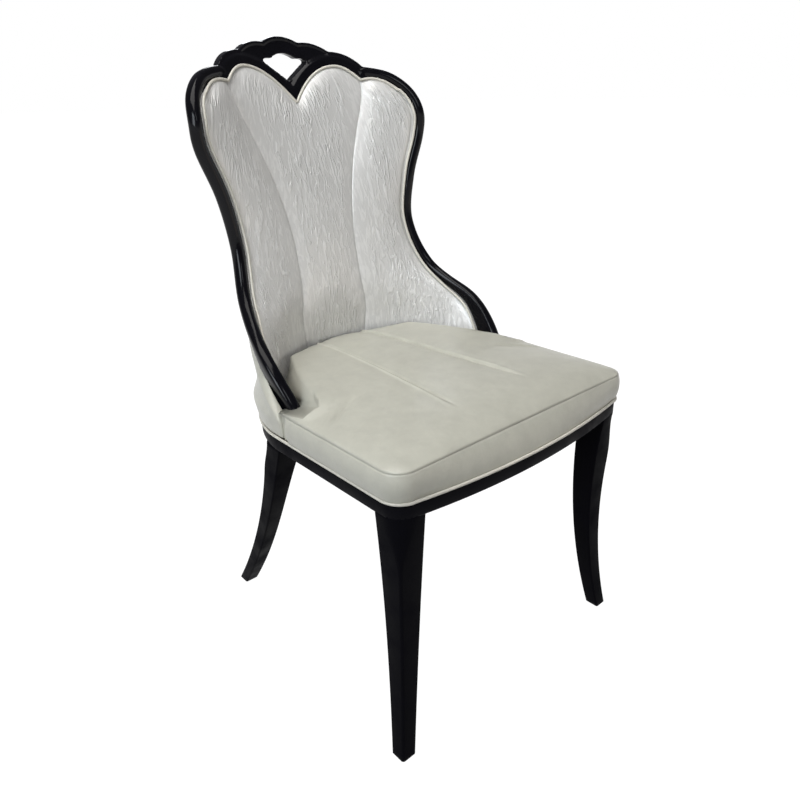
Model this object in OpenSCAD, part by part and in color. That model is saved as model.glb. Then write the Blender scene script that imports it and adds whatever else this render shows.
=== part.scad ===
// Upholstered dining chair with a scooped, scalloped back
// Millimetres, the floor is z = 0, the sitter looks toward -Y

/* [Seat frame] */
// Width of the seat frame
seat_w = 502; // [470:2:540]
// Depth of the seat frame from its front corners to its back
seat_d = 500; // [480:2:530]
// How far the front rail bows forward at its middle
front_bow = 20; // [12:1:26]
// Radius of the front corners in plan
corner_r = 32; // [26:1:38]
// Length of each side before the back starts to curve round
side_straight = 279; // [270:1:290]
// Height of the underside of the rails
rail_bottom = 406; // [380:1:430]
// Height of each rail
rail_h = 48; // [44:1:60]
// Thickness of each rail
rail_t = 30; // [26:1:34]
// Height of the black band that shows under the piping
band_h = 24; // [18:1:28]

/* [Legs] */
// Side of the square foot of a leg
foot_s = 25.5; // [20:0.5:32]
// Side of the square top of a front leg
leg_s = 48.5; // [44:0.5:54]
// How far the foot of a front leg stands out from the frame
foot_out = 10.5; // [4:0.5:16]
// How far the waist of a front leg is hollowed in
leg_hollow = 10; // [4:0.5:12]
// Height of the waist of a front leg
waist_z = 235; // [200:5:270]
// How far behind its top the foot of a rear leg stands
rear_rake = 225; // [180:1:240]
// How far inward the foot of a rear leg stands
rear_tuck = 30; // [10:1:40]
// Thickness of the glide under each foot
glide_h = 2; // [1:0.5:4]

/* [Seat] */
// Thickness of the plywood seat board
board_t = 12; // [9:1:18]
// Height of the boxing seam above the rails
seam_up = 27; // [22:1:34]
// Height of the crown of the seat above its seam
crown = 20; // [10:1:28]
// Thickness of the leather
leather_t = 2; // [1.5:0.1:2.5]
// Thickness of a piping cord
piping_d = 4.6; // [4:0.2:6]
// Depth of the two sewn pleats in the seat
pleat_depth = 4; // [2:0.5:6]

/* [Back] */
// Width of the black rim around the back
rim_w = 19; // [17:0.5:24]
// Depth of the black rim from front to back
rim_d = 21; // [20:0.5:26]
// How far the rim stands proud of the lining's edge
rim_proud = 3; // [2:0.5:4]
// Thickness of the plywood shell
shell_t = 7; // [5:0.5:9]
// Thickness of the foam between the shell and the lining
foam_t = 7; // [5:0.5:9]
// Height of the padding in each channel of the lining
pad = 11; // [6:0.5:14]
// Lean of the back just above the seat, as a slope
lean = 0.067; // [0.05:0.001:0.1]
// How much the lean grows with height, per millimetre
lean_growth = 0.00034; // [0.0003:0.00001:0.0004]
// Radius of the back across its top
top_r = 360; // [330:5:400]

/* [Crest] */
// Height of the top of the crest
crest_z = 995; // [985:1:1005]
// How far the tip of the V lies below the top of the crest
vee_drop = 104; // [98:1:110]

/* [Hidden] */

// Finishes
lacquer = "#101014";
leather = "#cfc8bb";
pearl = "#d8d0c6";
cord_cream = "#ece6da";
raw_wood = "#b98a54";
ply = "#caa36b";
foam_white = "#e9e2c9";
steel = "#9a9da3";
nylon = "#2b2b2b";
cloth_black = "#1a1a1c";

// Clearance between neighbouring pieces
fit = 0.3;
half_w = seat_w / 2;
rail_top = rail_bottom + rail_h;
band_top = rail_bottom + band_h;
step_in = leather_t + 1.5;
board_z = rail_top + fit;
seam_z = rail_top + seam_up;
back_depth = seat_d - side_straight;
dowel_d = 8;
dowel_l = 40;
screw_d = 4;
screw_head_d = 8;
screw_head_h = 3;
bore_gap = 0.2;

function mix(a, b, t) = a + (b - a) * t;
function ease(t) = let (c = min(1, max(0, t))) c * c * (3 - 2 * c);
function unit(v) = v / norm(v);
function flip(p) = [-p[0], p[1], p[2]];
function keep_sign(t, k) = sign(t) * pow(abs(t), k);

// How far the scoop of the back is drawn in between its sides and its middle, 1 for an ellipse
scoop = 1.1;

// Outline of the seat frame seen from above, anticlockwise from the front left
function frame_edge(inset, bow = front_bow) =
    let (w = half_w - inset, r = corner_r - inset, b = back_depth - inset)
    concat(
        [for (i = [-8:8]) [(w - r) * i / 8, inset - bow * (1 - pow(i / 8, 2))]],
        [for (a = [-75:15:0]) [w - r + r * cos(a), corner_r + r * sin(a)]],
        [for (a = [0:7.5:180]) [w * keep_sign(cos(a), scoop), side_straight + b * keep_sign(sin(a), scoop)]],
        [for (a = [180:15:255]) [r - w + r * cos(a), corner_r + r * sin(a)]]);

// Legs

function leg_size(z, top) = let (u = z / rail_bottom) mix(foot_s, top, 0.7 * u + 0.3 * u * u);

// How far the outer face of a front leg stands outside the frame at height z
function splay(z) = z < waist_z
    ? (leg_hollow + foot_out) * pow(1 - z / waist_z, 2) - leg_hollow
    : leg_hollow * pow((z - waist_z) / (rail_bottom - waist_z), 2) - leg_hollow;

leg_steps = [for (i = [0:16]) glide_h + (rail_bottom - glide_h) * i / 16];

// Side view of a front leg: its outer face first, then its inner face
front_leg_profile = concat(
    [for (z = leg_steps) [-splay(z), z]],
    [for (i = [16:-1:0]) let (z = leg_steps[i]) [leg_size(z, leg_s) - splay(z), z]]);

module extrude_along_x(x0, x1) translate([x0, 0, 0]) rotate([90, 0, 90]) linear_extrude(x1 - x0) children();
module extrude_along_y(y0, y1) translate([0, y1, 0]) rotate([90, 0, 0]) linear_extrude(y1 - y0) children();

// The frame's steps: the band that shows, then two behind the leather, which leans back
frame_steps = [[rail_bottom, band_top, 0, front_bow],
    [band_top, (band_top + rail_top) / 2, step_in, 0.8 * front_bow],
    [(band_top + rail_top) / 2, rail_top, step_in, 0.5 * front_bow]];

// The top of a leg, inside the frame's outline
module leg_top(x0, x1, y0, y1) {
    for (part = frame_steps)
        translate([0, 0, part[0]]) linear_extrude(part[1] - part[0]) intersection() {
            polygon(frame_edge(part[2], part[3]));
            translate([x0, y0]) square([x1 - x0, y1 - y0]);
        }
}

module front_leg() {
    difference() {
        union() {
            intersection() {
                extrude_along_x(half_w - 2 * leg_s, half_w + 2 * leg_s) polygon(front_leg_profile);
                extrude_along_y(-leg_s, 2 * leg_s) translate([half_w, 0]) mirror([1, 0]) polygon(front_leg_profile);
                union() {
                    translate([0, -seat_d, 0]) cube([seat_w, 2 * seat_d, waist_z]);
                    linear_extrude(rail_bottom) polygon(frame_edge(0));
                }
            }
            leg_top(half_w - leg_s, half_w, 0, leg_s);
        }
        dowels(dowel_d + bore_gap, dowel_l + 1);
        glide_pins(bore_gap);
    }
}

rear_leg_s = 46;
rear_leg_y = side_straight;
rear_leg_x = half_w - 3;

// Middle line of a rear leg, seen from the side, and its thickness, which swells near the top
function rear_leg_mid(z) = let (q = 1 - z / rail_bottom)
    rear_leg_y + rear_leg_s / 2 + rear_rake * (0.605 * q + 0.395 * q * q);

function rear_leg_size(z) = let (u = z / rail_bottom)
    foot_s + (rear_leg_s - foot_s) * (0.2 * u + 0.8 * pow(u, 5));

rear_leg_side = concat(
    [for (z = leg_steps) [rear_leg_mid(z) - rear_leg_size(z) / 2, z]],
    [for (i = [16:-1:0]) let (z = leg_steps[i]) [rear_leg_mid(z) + rear_leg_size(z) / 2, z]]);

rear_leg_front = concat(
    [for (z = leg_steps) [rear_leg_x - rear_tuck * (1 - z / rail_bottom), z]],
    [for (i = [16:-1:0]) let (z = leg_steps[i])
        [rear_leg_x - rear_tuck * (1 - z / rail_bottom) - rear_leg_size(z), z]]);

module rear_leg() {
    difference() {
        union() {
            intersection() {
                extrude_along_x(half_w - 3 * rear_leg_s, half_w + rear_leg_s) polygon(rear_leg_side);
                extrude_along_y(rear_leg_y - rear_leg_s, seat_d + rear_rake) polygon(rear_leg_front);
            }
            leg_top(rear_leg_x - rear_leg_s, half_w, rear_leg_y, rear_leg_y + rear_leg_s);
        }
        dowels(dowel_d + bore_gap, dowel_l + 1);
        glide_pins(bore_gap);
    }
}

// Middle of each foot on the right side
front_foot = [half_w + splay(0) - foot_s / 2, foot_s / 2 - splay(0)];
rear_foot = [rear_leg_x - rear_tuck - foot_s / 2, rear_leg_mid(0)];
glide_pin_d = 5;
glide_pin_l = 14;

module glide_pins(gap) {
    for (p = [front_foot, rear_foot])
        translate([p[0], p[1], glide_h - fit]) cylinder(d = glide_pin_d + 2 * gap, h = glide_pin_l + gap, $fn = 24);
}

module glides() {
    for (p = [front_foot, rear_foot])
        translate([p[0], p[1], 0]) {
            cylinder(d1 = foot_s - 6, d2 = foot_s - 3, h = glide_h / 2, $fn = 40);
            translate([0, 0, glide_h / 2]) cylinder(d = foot_s - 3, h = glide_h / 2 - fit, $fn = 40);
            translate([0, 0, glide_h / 2]) cylinder(d = glide_pin_d, h = glide_pin_l, $fn = 24);
        }
}

// Rails

module rail_ring() {
    for (part = frame_steps)
        translate([0, 0, part[0]]) linear_extrude(part[1] - part[0]) difference() {
            polygon(frame_edge(part[2], part[3]));
            polygon(frame_edge(rail_t));
        }
}

module rail_between(x0, x1, y0, y1) {
    difference() {
        intersection() {
            rail_ring();
            translate([x0, y0, 0]) cube([x1 - x0, y1 - y0, rail_top + 1]);
        }
        both_sides() dowels(dowel_d + bore_gap, dowel_l + 1);
        both_sides() block_screw_bores();
        sill_screw_bores();
    }
}

module both_sides() {
    children();
    mirror([1, 0, 0]) children();
}

front_rail_end = half_w - leg_s - fit;
rear_rail_start = rear_leg_y + rear_leg_s + fit;

// Dowels between legs and rails on the right side, two at each joint
front_dowel_y = 12;
side_dowel_x = half_w - step_in - rail_t / 2;
rear_dowel_x = side_dowel_x - 9;
dowel_rise = rail_h / 4;

module dowels(d, l) {
    for (z = [rail_bottom + dowel_rise, rail_top - dowel_rise]) {
        translate([front_rail_end + fit / 2, front_dowel_y, z]) rotate([0, 90, 0]) cylinder(d = d, h = l, center = true, $fn = 24);
        translate([side_dowel_x, leg_s + fit / 2, z]) rotate([90, 0, 0]) cylinder(d = d, h = l, center = true, $fn = 24);
        translate([side_dowel_x, rear_leg_y - fit / 2, z]) rotate([90, 0, 0]) cylinder(d = d, h = l, center = true, $fn = 24);
        translate([rear_dowel_x, rear_rail_start - fit / 2, z]) rotate([90, 0, 0]) cylinder(d = d, h = l, center = true, $fn = 24);
    }
}

// Corner blocks, shaped around the legs inside the frame

block_h = 30;
block_z = rail_top - block_h;
front_block_x = 84;
front_block_y = 84;
rear_block_in = 62;
rear_block_half = 78;

module block_plan() {
    inner = half_w - rail_t;
    difference() {
        intersection() {
            polygon(frame_edge(rail_t + fit));
            union() {
                polygon([[inner - front_block_x, -front_bow], [inner + 5, -front_bow],
                    [inner + 5, rail_t + front_block_y], [inner, rail_t + front_block_y], [inner - front_block_x, rail_t - 12]]);
                polygon([[inner - rear_block_in, rear_leg_y + rear_leg_s / 2], [inner + 8, rear_leg_y + rear_leg_s / 2 - rear_block_half],
                    [inner + 8, rear_leg_y + rear_leg_s / 2 + rear_block_half]]);
            }
        }
        translate([half_w - leg_s - fit, -front_bow]) square([leg_s, leg_s + front_bow + fit]);
        translate([rear_leg_x - rear_leg_s - fit, rear_leg_y - fit]) square([leg_s + 4, rear_leg_s + 2 * fit]);
    }
}

module blocks() {
    difference() {
        translate([0, 0, block_z]) linear_extrude(block_h - fit) block_plan();
        block_screw_bores();
        board_screw_bores();
    }
}

// A countersunk wood screw along -Z, its head's top at the origin
module wood_screw(length) {
    translate([0, 0, -screw_head_h]) cylinder(d1 = screw_d, d2 = screw_head_d, h = screw_head_h, $fn = 24);
    translate([0, 0, -length]) cylinder(d = screw_d, h = length - screw_head_h, $fn = 24);
}

module wood_screw_bore(length, open) {
    translate([0, 0, -screw_head_h - bore_gap]) cylinder(d1 = screw_d, d2 = screw_head_d + 2 * bore_gap, h = screw_head_h + bore_gap, $fn = 24);
    translate([0, 0, -length - 1]) cylinder(d = screw_d + 2 * bore_gap, h = length, $fn = 24);
    cylinder(d = screw_head_d + 2 * bore_gap, h = open, $fn = 24);
}

// Where the block screws start on the right side, and which way they turn
inner_x = half_w - rail_t;
block_screw_z = rail_top - 16;
block_screw_l = 34;
block_screw_places = [
    [[inner_x - 44, rail_t + 7, block_screw_z], [90, 0, 180]],
    [[inner_x - 19, rail_t + 46, block_screw_z], [0, -90, 0]],
    [[inner_x - 13, rear_leg_y - 27, block_screw_z], [0, -90, 0]],
    [[inner_x - 23, rear_rail_start + 14, rail_bottom + rail_h / 2], [0, -90, 0]]];

module block_screws() {
    for (p = block_screw_places) translate(p[0]) rotate(p[1]) wood_screw(block_screw_l);
}

module block_screw_bores() {
    for (p = block_screw_places) translate(p[0]) rotate(p[1]) wood_screw_bore(block_screw_l, 60);
}

// Screws that hold the seat board down to the blocks
board_screw_l = board_t + 18;
board_screw_places = [[inner_x - 22, rail_t + 28], [inner_x - 34, rear_leg_y + 10]];

module board_screws() {
    for (p = board_screw_places) translate([p[0], p[1], board_z + board_t]) wood_screw(board_screw_l);
}

module board_screw_bores() {
    for (p = board_screw_places) translate([p[0], p[1], board_z + board_t]) wood_screw_bore(board_screw_l, 1);
}

// Seat cushion: a patch across (u from -1 to 1) and back (v from 0 to 1)

box_w = half_w + 2.4;
lining_a = 210;
lining_b = back_depth - 46.5;
notch_start = side_straight - 39;
notch_end = side_straight - 13;
sill_front = side_straight - 17;
corner_cut = corner_r * (1 - sin(45));

// Half width of the cushion at depth y: corner, side, notch and the scoop of the back
function cushion_half(y, skin) =
    let (w = box_w - skin, a = lining_a - 0.6 - skin, b = lining_b - 0.6 - skin)
    y < corner_r ? w - corner_r + sqrt(max(0, pow(corner_r, 2) - pow(corner_r - y, 2)))
    : y < side_straight ? mix(w, a, ease((y - notch_start + skin) / (notch_end - notch_start)))
    : a * pow(max(0, 1 - pow((y - side_straight) / b, 2 / scoop)), scoop / 2);

function cushion_rear(x, skin) =
    let (a = lining_a - 0.6 - skin, b = lining_b - 0.6 - skin)
    side_straight + b * pow(max(0, 1 - pow(min(1, abs(x) / a), 2 / scoop)), scoop / 2);

function cushion_front(x, skin) =
    let (e = abs(x) - (box_w - skin - corner_r))
    skin + (e > 0 ? corner_r - sqrt(max(0, pow(corner_r, 2) - e * e)) : 0);

cushion_back_y = side_straight + lining_b * 0.69;

function cushion_plan(u, v, skin) =
    let (y0 = corner_cut + skin, y = mix(y0, cushion_back_y, v),
        plain_w = mix(cushion_half(y0, skin), cushion_half(cushion_back_y, skin), v),
        x = u * mix(plain_w, cushion_half(y, skin), pow(abs(u), 5)))
    [x, y + (cushion_front(x, skin) - y0) * pow(1 - v, 3) * (abs(u) == 1 ? 0 : 1)
        + (cushion_rear(x, skin) - cushion_back_y) * pow(v, 2) * (abs(u) == 1 ? 0 : 1)];

pleat_u = 0.335;
cushion_us = let (right = [0.17, pleat_u - 0.035, pleat_u, pleat_u + 0.035, 0.55, 0.74, 0.87, 0.95, 1])
    concat([for (i = [8:-1:0]) -right[i]], [0], right);
notch_rows = [for (t = [-0.1, 0.2, 0.4, 0.6, 0.8, 1.1])
    (mix(notch_start, notch_end, t) - corner_cut) / (cushion_back_y - corner_cut)];
cushion_vs = concat([0, 0.015, 0.05, 0.11, 0.2, 0.32, 0.44, 0.53], notch_rows, [0.74, 0.86, 1]);

function cushion_top(u, v) =
    seam_z
    + crown * 0.55 * (1 - pow(abs(u), 7)) * (1 - pow(1 - v, 11))
    + crown * 0.45 * (1 - u * u) * (1 - pow(2 * v - 1, 4))
    - (abs(abs(u) - pleat_u) < 0.001 ? pleat_depth * ease(6 * v) : 0);

function cushion_point(u, v, skin) =
    let (p = cushion_plan(u, v, skin)) [p[0], p[1], cushion_top(u, v) - skin];

function grid(us, vs) = [for (v = vs) [for (u = us) [u, v]]];

// Faces of a grid of nu by nv quads that starts at point index k, split into triangles
function grid_faces(nu, nv, k, turn) = [for (j = [0:nv - 1], i = [0:nu - 1])
    let (a = k + j * (nu + 1) + i, b = a + 1, c = b + nu + 1, d = c - 1)
    each turn ? [[a, b, c], [a, c, d]] : [[a, c, b], [a, d, c]]];

// Point numbers round the edge of such a grid
function edge_loop(nu, nv, k) = concat(
    [for (i = [0:nu - 1]) k + i],
    [for (j = [0:nv - 1]) k + j * (nu + 1) + nu],
    [for (i = [nu:-1:1]) k + nv * (nu + 1) + i],
    [for (j = [nv:-1:1]) k + j * (nu + 1)]);

// Triangles between two loops of point numbers
function strip_faces(p, q, turn) = [for (i = [0:len(p) - 1])
    let (n = (i + 1) % len(p), a = p[i], b = p[n], c = q[n], d = q[i])
    each turn ? [[a, b, c], [a, c, d]] : [[a, c, b], [a, d, c]]];

// A closed solid between two grids of the same size
module sheet_solid(front, back) {
    nu = len(front[0]) - 1;
    nv = len(front) - 1;
    n = (nu + 1) * (nv + 1);
    polyhedron(
        concat([for (row = front) each row], [for (row = back) each row]),
        concat(grid_faces(nu, nv, 0, true), grid_faces(nu, nv, n, false),
            strip_faces(edge_loop(nu, nv, 0), edge_loop(nu, nv, n), false)));
}

module cushion_foam() {
    skin = leather_t + fit;
    sheet_solid(
        [for (v = cushion_vs) [for (u = cushion_us) let (p = cushion_point(u, v, skin)) [p[0], p[1], board_z + board_t + fit]]],
        [for (v = cushion_vs) [for (u = cushion_us) cushion_point(u, v, skin)]]);
}

// Boundary of the cushion in the order of edge_loop, as pairs of u and v
cushion_rim = let (nu = len(cushion_us) - 1, nv = len(cushion_vs) - 1) concat(
    [for (i = [0:nu - 1]) [cushion_us[i], 0]],
    [for (j = [0:nv - 1]) [1, cushion_vs[j]]],
    [for (i = [nu:-1:1]) [cushion_us[i], 1]],
    [for (j = [nv:-1:1]) [-1, cushion_vs[j]]]);

// A point of the boxing, down from the seam (t = 0) to the piping (t = 1)
function boxing_point(uv, t, skin) =
    let (p = cushion_plan(uv[0], uv[1], skin), outside = p[1] < notch_start + 3,
        bulge = outside ? 2.5 * sin(180 * min(1, t * 1.1)) : 0,
        bow = uv[1] == 0 ? front_bow * (1 - pow(min(1, abs(p[0]) / (half_w - corner_r)), 2)) : 0,
        front = uv[1] < 0.02 && abs(p[0]) < half_w - 12,
        side = outside && !front ? sign(p[0]) * bulge : 0,
        low = outside ? band_top + piping_d : board_z + board_t + 1.5)
    [p[0] + side, p[1] - bow * t - (front ? bulge : 0), mix(cushion_top(uv[0], uv[1]) - skin, low, t)];

module seat_leather() {
    nu = len(cushion_us) - 1;
    nv = len(cushion_vs) - 1;
    n = (nu + 1) * (nv + 1);
    m = len(cushion_rim);
    levels = [0.35, 0.7, 1];
    outer = concat(
        [for (v = cushion_vs, u = cushion_us) cushion_point(u, v, 0)],
        [for (t = levels, uv = cushion_rim) boxing_point(uv, t, 0)]);
    inner = concat(
        [for (v = cushion_vs, u = cushion_us) cushion_point(u, v, leather_t)],
        [for (t = levels, uv = cushion_rim) boxing_point(uv, t, leather_t)]);
    k = n + 3 * m;
    function loop(part, level) = level == 0 ? edge_loop(nu, nv, part * k) : [for (i = [0:m - 1]) part * k + n + (level - 1) * m + i];
    polyhedron(concat(outer, inner), concat(
        grid_faces(nu, nv, 0, false), grid_faces(nu, nv, k, true),
        [for (level = [0:2]) each strip_faces(loop(0, level), loop(0, level + 1), true)],
        [for (level = [0:2]) each strip_faces(loop(1, level), loop(1, level + 1), false)],
        strip_faces(loop(0, 3), loop(1, 3), true)));
}

module board() {
    skin = leather_t + 6;
    difference() {
        translate([0, 0, board_z]) linear_extrude(board_t)
            polygon([for (uv = cushion_rim) let (p = cushion_plan(uv[0], uv[1], skin)) [p[0], p[1]]]);
        both_sides() board_screw_bores();
    }
}

// A tube along a list of points, with its ring at each point turned to the path
function path_dir(path, i, closed) =
    let (n = len(path), a = closed ? path[(i + n - 1) % n] : path[max(0, i - 1)],
        b = closed ? path[(i + 1) % n] : path[min(n - 1, i + 1)])
    unit(b - a);

function tube_ring(p, dir, side, r, sides) =
    let (x = unit(cross(cross(dir, side), dir)), y = cross(dir, x))
    [for (k = [0:sides - 1]) p + r * (x * cos(360 * k / sides) + y * sin(360 * k / sides))];

module tube(path, r, sides, side, closed) {
    n = len(path);
    rings = [for (i = [0:n - 1]) tube_ring(path[i], path_dir(path, i, closed), side, r, sides)];
    function ring(i) = [for (k = [0:sides - 1]) (i % n) * sides + k];
    polyhedron([for (r = rings) each r], concat(
        [for (i = [0:closed ? n - 1 : n - 2]) each strip_faces(ring(i), ring(i + 1), false)],
        closed ? [] : [for (k = [1:sides - 2]) [0, k, k + 1]],
        closed ? [] : [for (k = [1:sides - 2]) let (b = (n - 1) * sides) [b, b + k + 1, b + k]]));
}

// How far the piping is tucked in under the leather
piping_tuck = 0.9;

module seat_cord() {
    tube([for (p = frame_edge(piping_tuck - piping_d / 2)) [p[0], p[1], band_top + piping_d / 2 + fit - 0.8]],
        piping_d / 2, 8, [0, 0, 1], true);
}

// Back: the rim's middle line, the lining's surface and what lies behind it

// How much of the padding swells behind the cushion, where the lining is set back by as much
seat_swell = 0.7;
seat_recess = seat_swell * pad + 2;

// Height from which the back leans
lean_z = seam_z + 9;

// Middle line of the lining at height z
function mid_y(z) = let (h = z - lean_z)
    side_straight + lining_b + lean * h + lean_growth * h * h + seat_recess * (1 - ease(h / 110));

// Shoulder of the rim: a quarter ellipse about this point
shoulder = [150, crest_z - 125];
shoulder_a = 65 + rim_w / 2;
shoulder_b = 58 + rim_w / 2;
rim_sink = rim_d / 2 - rim_proud;
shoulder_top = shoulder[1] + shoulder_b;
crest_mid_z = crest_z - 55;

function shoulder_point(a) =
    let (x = shoulder[0] + shoulder_a * cos(a), z = shoulder[1] + shoulder_b * sin(a))
    [x, mid_y(z) - x * x / (2 * top_r) + rim_sink, z, 42];

sill_top = seam_z - 15;
joint_x = 139;
rim_foot_x = 224.5;
rim_foot_y = side_straight + 1;

// The rim's sides: across, share of the way back, share of the way up to the shoulder, and turn
rim_sides = [[229, 0.301, 0.183, 82], [202.6, 0.791, 0.332, 64], [184.7, 1.018, 0.53, 52],
    [196, 1.057, 0.728, 46], [221, 1.063, 0.901, 43]];

// Stations of the rim's middle line on the right side: across, back, up, and the angle
// through which the lining turns from its middle to the rim
rim_stations = concat(
    [[rim_foot_x, rim_foot_y - 10, sill_top - 34, 88], [rim_foot_x, rim_foot_y, sill_top + fit, 88]],
    [for (s = rim_sides) [s[0], side_straight + s[1] * lining_b, mix(sill_top, shoulder[1], s[2]), s[3]]],
    [for (a = [0:30:90]) shoulder_point(a)],
    [[joint_x, mid_y(shoulder_top - 2) - pow(joint_x, 2) / (2 * top_r) + rim_sink, shoulder_top - 2, 42]],
    [[joint_x - 30, mid_y(crest_mid_z - 5) - pow(joint_x - 30, 2) / (2 * top_r) + rim_sink, shoulder_top - 8, 42]]);

// Smooth curve through the stations, q = 0 at the sill and 1 at the crest joint
rim_spans = len(rim_stations) - 3;
function rim_at(q) =
    let (s = min(rim_spans - 0.0001, max(0, q * rim_spans)), i = floor(s), t = s - i,
        a = rim_stations[i], b = rim_stations[i + 1], c = rim_stations[i + 2], d = rim_stations[i + 3])
    0.5 * (2 * b + (c - a) * t + (2 * a - 5 * b + 4 * c - d) * t * t + (3 * b - a - 3 * c + d) * t * t * t);

function place(r) = [r[0], r[1], r[2]];
function rim_dir(q) = unit(place(rim_at(min(1, q + 0.004))) - place(rim_at(max(0, q - 0.004))));

// Which way the lining faces beside the rim
function rim_face(q) =
    let (r = rim_at(q), t = rim_dir(q), depth = mid_y(r[2]) - r[1] + rim_sink,
        turn = atan(depth / r[0] * (1 + cos(r[3])) / cos(r[3])),
        across = [cos(turn), -sin(turn), 0],
        up = mix(t, unit([0, lean + 2 * lean_growth * (r[2] - lean_z), 1]), ease((r[2] - shoulder[1] + 70) / 70)))
    unit(cross(across, up));

function rim_out(q) = unit(cross(rim_dir(q), rim_face(q)));

// The point of the lining's edge beside the rim, which is its hem
hem_gap = 0.6;
function hem(q) = place(rim_at(q)) - rim_out(q) * (rim_w / 2 + hem_gap) + rim_face(q) * rim_sink;

// Top edge of the lining: an outer lobe, a cusp, a middle lobe and the V
cusp = [134, crest_z - 69];
lobe_x = 92;
lobe_z = crest_z - 46.5;
vee_z = crest_z - vee_drop;
function top_edge(x) = let (e = abs(x))
    e < lobe_x ? lobe_z - (lobe_z - vee_z) * pow(1 - e / lobe_x, 2)
    : e < cusp[0] ? lobe_z - (lobe_z - cusp[1]) * pow((e - lobe_x) / (cusp[0] - lobe_x), 2)
    : e < shoulder[0] ? mix(cusp[1], shoulder_top - rim_w / 2, (e - cusp[0]) / (shoulder[0] - cusp[0]))
    : shoulder[1] + (shoulder_b - rim_w / 2) * sqrt(max(0, 1 - pow((e - shoulder[0]) / (shoulder_a - rim_w / 2), 2)));

// Where the side of the lining ends and its top edge starts, along the rim
shoulder_q = (6 + 1.35) / rim_spans;
hem_top_z = hem(shoulder_q)[2];

// The two seams run from the cusps down to the seat
seam_foot = 0.206;
seam_head = 0.644;
function seam_share(v) = mix(seam_foot, seam_head, pow(v, 1.25));

channel_u = 0.4;
function across_share(u, v) = let (e = abs(u), s = seam_share(v))
    sign(u) * (e < channel_u ? s * e / channel_u : mix(s, 1, (e - channel_u) / (1 - channel_u)));

// A point of the lining: u from -1 to 1 across, v from 0 at the seat to 1 at the top edge
function lining(u, v) =
    let (q = v * shoulder_q, h = hem(q), turn = rim_at(q)[3], k = mix(scoop - 0.05, 1, v),
        s = across_share(u, v), a = abs(s) * turn,
        x = sign(s) * h[0] * pow(sin(a) / sin(turn), k),
        rise = (top_edge(x) - fit - hem_top_z) * pow(v, 5) * (1 - pow(abs(u), 12)),
        z = h[2] + rise,
        depth = mid_y(h[2]) - h[1])
    [x, mid_y(z) - depth * (1 - pow(cos(a), k)) / (1 - pow(cos(turn), k)), z];

tiny = 0.004;
function lining_face(u, v) =
    let (du = lining(min(1, u + tiny), v) - lining(max(-1, u - tiny), v),
        dv = lining(u, min(1, v + tiny)) - lining(u, max(0, v - tiny)))
    unit(cross(du, dv));

// A point at depth d behind the lining, no lower than the sill's top
function behind(u, v, d) = let (p = lining(u, v) - lining_face(u, v) * d) [p[0], p[1], max(p[2], sill_top + fit)];

// Padding swells each channel between the seams and the piping
function padded_edge(v) = mix(0.984, 0.95, v);
function swell(u, v) = let (e = abs(u), c = e < channel_u ? 0.5 + e / channel_u / 2 : (e - channel_u) / (padded_edge(v) - channel_u))
    pad * pow(max(0, sin(180 * min(1, c))), 0.7) * min(1, seat_swell + 2 * v) * pow(max(0, 1 - pow(v, 9)), 0.6);

lining_us = let (right = [0.1, 0.2, 0.3, 0.37, channel_u, 0.44, 0.52, 0.63, 0.76, 0.88, 0.96, 1])
    concat([for (i = [11:-1:0]) -right[i]], [0], right);
lining_vs = [for (i = [0:18]) let (t = i / 18) t + 0.1 * sin(180 * t) * t];

module lining_leather() {
    sheet_solid(
        [for (v = lining_vs) [for (u = lining_us) behind(u, v, -swell(u, v))]],
        [for (v = lining_vs) [for (u = lining_us) behind(u, v, leather_t - swell(u, v))]]);
}

module lining_foam() {
    sheet_solid(
        [for (v = lining_vs) [for (u = lining_us) behind(u, v, leather_t + fit - swell(u, v))]],
        [for (v = lining_vs) [for (u = lining_us) behind(u, v, leather_t + foam_t)]]);
}

shell_front = leather_t + foam_t + fit;
shell_back = shell_front + shell_t;

module shell() {
    sheet_solid(
        [for (v = lining_vs) [for (u = lining_us) behind(u, v, shell_front)]],
        [for (v = lining_vs) [for (u = lining_us) behind(u, v, shell_back)]]);
}

// The outer leather hangs from the rim and runs down over the sill to the piping,
// bulging out above the rails
bulge_max = 13;
bulge_h = 90;
function bulge(z) = bulge_max * sin(90 * min(1, max(0, (z - rail_top) / bulge_h)));

outer_front_y = notch_start + 10;
function skirt_point(u, z, out) =
    let (a = abs(u) * 100, w = half_w + out + bulge(z), b = back_depth + out + bulge(z),
        k = mix(scoop, 1, min(1, (z - band_top) / (rail_top - band_top))))
    a < 90 ? [sign(u) * w * pow(sin(a), k), side_straight + b * pow(cos(a), k), z]
    : [sign(u) * w, mix(side_straight, outer_front_y, (a - 90) / 10), z];

function outer_point(u, v, d) = behind(u, v, shell_back + fit + d);

// How much of the skirt's fullness is left at height z, less beside the rim
full_z = rail_top + 106;
fullness_h = 190;
function fullness(u, z) = (1 - ease((z - full_z) / fullness_h)) * (1 - pow(abs(u), 8) * ease((z - rail_top) / 60));

// A point of the outer leather: it hangs over the skirt's line where that lies outside the shell
function hung(u, v, d) =
    let (p = outer_point(u, v, d), skirt = skirt_point(u, p[2], fit + d - 0.5), out = -lining_face(u, v),
        pushed = p + out * max(0, (skirt - p) * out))
    mix(p, mix(skirt, pushed, ease((p[2] - rail_top) / 60)), fullness(u, p[2]));

function outer_rows(d) = concat(
    [for (z = [band_top + piping_d, rail_top]) [for (u = lining_us) skirt_point(u, z, fit + d - 0.5)]],
    [for (v = lining_vs) [for (u = lining_us) hung(u, v, d)]]);

module outer_leather() {
    sheet_solid(outer_rows(0), outer_rows(leather_t));
}

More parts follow.
